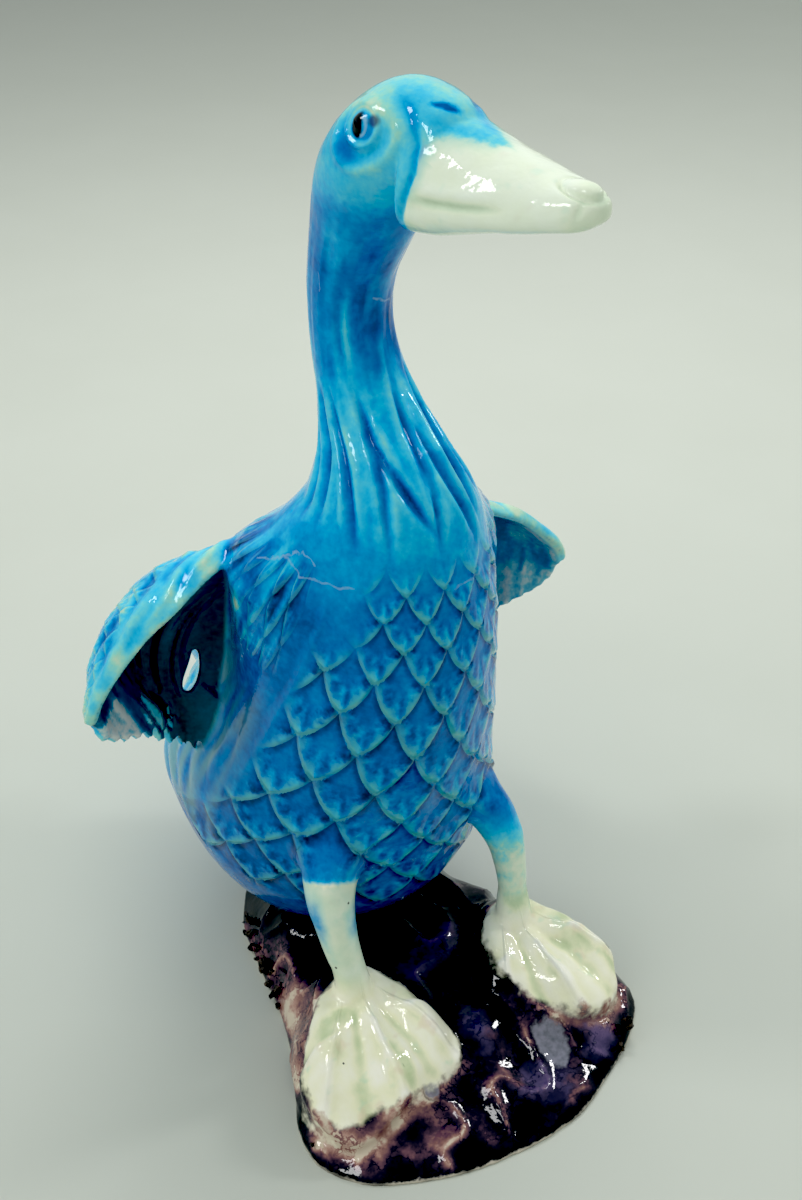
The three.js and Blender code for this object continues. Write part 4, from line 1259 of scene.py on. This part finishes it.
    # a crest along each toe, and the glaze's faint waves
    across, along, _ = g.parts()
    near, far = (float(ring(outline, 90).mean(0)[0]) * TOE_ROOT[0] for outline in FEET)
    across = g.where(across < 0, near - across, across - far)
    bearing = (g.arctan2(across, TOE_ROOT[1] - along) * 57.3 - TOE_TURN) / TOE_SPREAD
    crest = g.hump(abs(bearing - g.round(bearing)) / 0.04) * (abs(bearing) < 1.3) * g.smooth(-along, 1, 5) * (1 - shift)
    height = 0.035 * g.noise(2.8, 6, 1.0) + 0.01 * g.noise(1.0, 7, 1.0) + 0.2 * crest * (z < FOOT_Z)
    return g.finish(colour, 0.05 + 0.015 * abs(patchy) + 0.4 * bare * shift, height, ior=1.45)


# ---- kiln grit stuck round the foot of the rock

def grit_bed():
    """Strips of the rock's side wall that the grit sticks to."""
    edge = ring(ROCK, len(ROCK) * 6)
    centre = array(ROCK_CENTRE, float)
    places, faces = [], []
    for start, end, low, high in GRIT_BEDS:
        for k, at in enumerate((linspace(start, end, 16) * 6).round().astype(int)):
            for z in (low, high):
                x, y = centre + (edge[at] - centre) * mix(1.0, 0.965, z / 8)
                places.append((x * MM, y * MM, z * MM))
            if k:
                n = len(places)
                faces.append((n - 4, n - 3, n - 1, n - 2))
    mesh = bpy.data.meshes.new("kiln_grit")
    mesh.from_pydata(places, [], faces)
    return put("kiln_grit", mesh)


def scatter_grit(bed, material):
    tree = bpy.data.node_groups.new("grit", "GeometryNodeTree")
    for name, kind in (("Bed", "Geometry"), ("Grains per square metre", "Float"), ("Grain size", "Float")):
        tree.interface.new_socket(name, in_out="INPUT", socket_type="NodeSocket" + kind)
    tree.interface.new_socket("Grit", in_out="OUTPUT", socket_type="NodeSocketGeometry")
    node = partial(add_node, tree)
    given = node("NodeGroupInput").outputs
    points = node("GeometryNodeDistributePointsOnFaces", {}, {"Mesh": given[0], "Density": given[1], "Seed": 4})
    grain = node("GeometryNodeMeshIcoSphere", {}, {"Radius": given[2], "Subdivisions": 3})

    def vary(low, high, seed):
        values = {0: low, 1: high, "Seed": seed}
        return node("FunctionNodeRandomValue", {"data_type": "FLOAT_VECTOR"}, values).outputs[0]

    size = vary((0.2, 0.2, 0.2), (1.7, 1.3, 1.1), 1)
    spin = vary((0, 0, 0), (6.28, 6.28, 6.28), 2)
    values = {"Points": points.outputs["Points"], "Instance": grain.outputs[0], "Rotation": spin, "Scale": size}
    real = node("GeometryNodeRealizeInstances", {}, {0: node("GeometryNodeInstanceOnPoints", {}, values).outputs[0]})
    values = {"Vector": node("GeometryNodeInputPosition").outputs[0], "Scale": 900.0, "Detail": 3.0}
    cloud = node("ShaderNodeTexNoise", {}, values).outputs["Color"]
    offset = node("ShaderNodeVectorMath", {"operation": "SUBTRACT"}, {0: cloud, 1: (0.5, 0.5, 0.5)}).outputs[0]
    offset = node("ShaderNodeVectorMath", {"operation": "SCALE"}, {0: offset, "Scale": GRIT_ROUGH}).outputs[0]
    moved = node("GeometryNodeSetPosition", {}, {0: real.outputs[0], "Offset": offset})
    dressed = node("GeometryNodeSetMaterial", {}, {0: moved.outputs[0], "Material": material})
    node("NodeGroupOutput", {}, {0: dressed.outputs[0]})
    modifier = bed.modifiers.new("grit", "NODES")
    modifier.node_group = tree
    for item, value in zip([i for i in tree.interface.items_tree if i.in_out == "INPUT"][1:], GRIT_SOWN):
        modifier[item.identifier] = value
    bed.data = bpy.data.meshes.new_from_object(bed.evaluated_get(bpy.context.evaluated_depsgraph_get()))
    bed.modifiers.clear()


def paint_grit():
    g = Paint("kiln_grit")
    shade = g.noise(1.6, 5, 3) + 0.5 * g.noise(0.6, 6, 2)
    colour = g.ramp(0.5 + 0.3 * shade, *GRIT)
    return g.finish(colour, 0.55 + 0.1 * shade, 0.1 * g.noise(0.5, 7, 2))


skin = make_skin()
lay_glazes(skin.data)
skin.data.materials.append(paint_glazes())
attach(skin, "root")
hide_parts("duck_figurine")
grit = grit_bed()
scatter_grit(grit, paint_grit())
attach(grit, "root")

# ---- floor, light and camera
paper = Paint("paper")
floor = put("floor", bpy.data.meshes.new("floor"))
FLOOR_REACH = 4      # metres
floor.data.from_pydata([(x * FLOOR_REACH, y * FLOOR_REACH, 0) for x, y in ((-1, -1), (1, -1), (1, 1), (-1, 1))],
                       [], [(0, 1, 2, 3)])
tint = paper.ramp(0.5 + 0.12 * paper.noise(40, 1, 3), (0.0, (196, 200, 190)), (1.0, (204, 208, 199)))
# the paper painted darker further back: a painted fall-off of the light
tint = paper.blend(paper.smooth(paper.parts()[1], 350, 1300), tint, (170, 173, 168))
floor.data.materials.append(paper.finish(tint, 0.75))

# lights: place, what they point at, width and height, watts, and whether they show in glossy and in matt surfaces
LIGHTS = {
    "overhead": ((0.18, 0.29, 0.46), (0, 0, 0), (0.3, 0.3), 1.05, False, True),
    "left fill": ((-0.6, -0.2, 0.42), (0, 0, 0.08), (0.5, 0.5), 0.6, False, True),
    "window": ((-0.45, 0.35, 0.78), (0, 0, 0.1), (0.15, 0.24), 1.35, False, True),
    "window glare": ((-0.45, 0.37, 0.77), (0, 0, 0.1), (0.17, 0.26), 1.6, True, False),
    "front pane glare": ((-0.46, -0.05, 0.82), (0, 0, 0.06), (0.25, 0.13), 1.2, True, False),
    "side window": ((0.62, 0.0, 0.52), (0, 0, 0.03), (0.08, 0.14), 0.95, True, True),
}
for name, (place, target, size, power, glossy, matt) in LIGHTS.items():
    light = bpy.data.lights.new(name, "AREA")
    light.shape = "RECTANGLE"
    light.size, light.size_y = size
    light.energy = power
    lamp = put(name, light)
    lamp.location = place
    lamp.rotation_euler = (Vector(target) - Vector(place)).to_track_quat("-Z", "Y").to_euler()
    lamp.visible_glossy, lamp.visible_diffuse = glossy, matt

world = bpy.data.worlds.new("room")
world.use_nodes = True
room = world.node_tree.nodes["Background"].inputs
room["Color"].default_value, room["Strength"].default_value = (0.82, 0.86, 0.84, 1), 0.67
bpy.context.scene.world = world
view = bpy.context.scene.view_settings
view.view_transform = "Standard"
view.use_curve_mapping = True
view.curve_mapping.black_level = (0.036, 0.032, 0.032)

# the photo's camera, solved from the figure's own outlines: place in metres, heading and downward pitch in degrees
CAMERA_PLACE = (-0.12307, -0.19106, 0.27273)
CAMERA_HEADING, CAMERA_PITCH = -30.898, 35.524
FOCAL_LENGTH = 46.5      # millimetres
lens = bpy.data.cameras.new("camera")
lens.sensor_width = 36
lens.lens = FOCAL_LENGTH
lens.clip_start = 0.01
camera = put("camera", lens)
heading, pitch = math.radians(CAMERA_HEADING), math.radians(CAMERA_PITCH)
forward = Vector((-math.sin(heading) * math.cos(pitch), math.cos(heading) * math.cos(pitch), -math.sin(pitch)))
right = Vector((math.cos(heading), math.sin(heading), 0))
turn = Matrix((right, right.cross(forward), -forward)).transposed().to_4x4()
camera.matrix_world = Matrix.Translation(CAMERA_PLACE) @ turn
bpy.context.scene.camera = camera
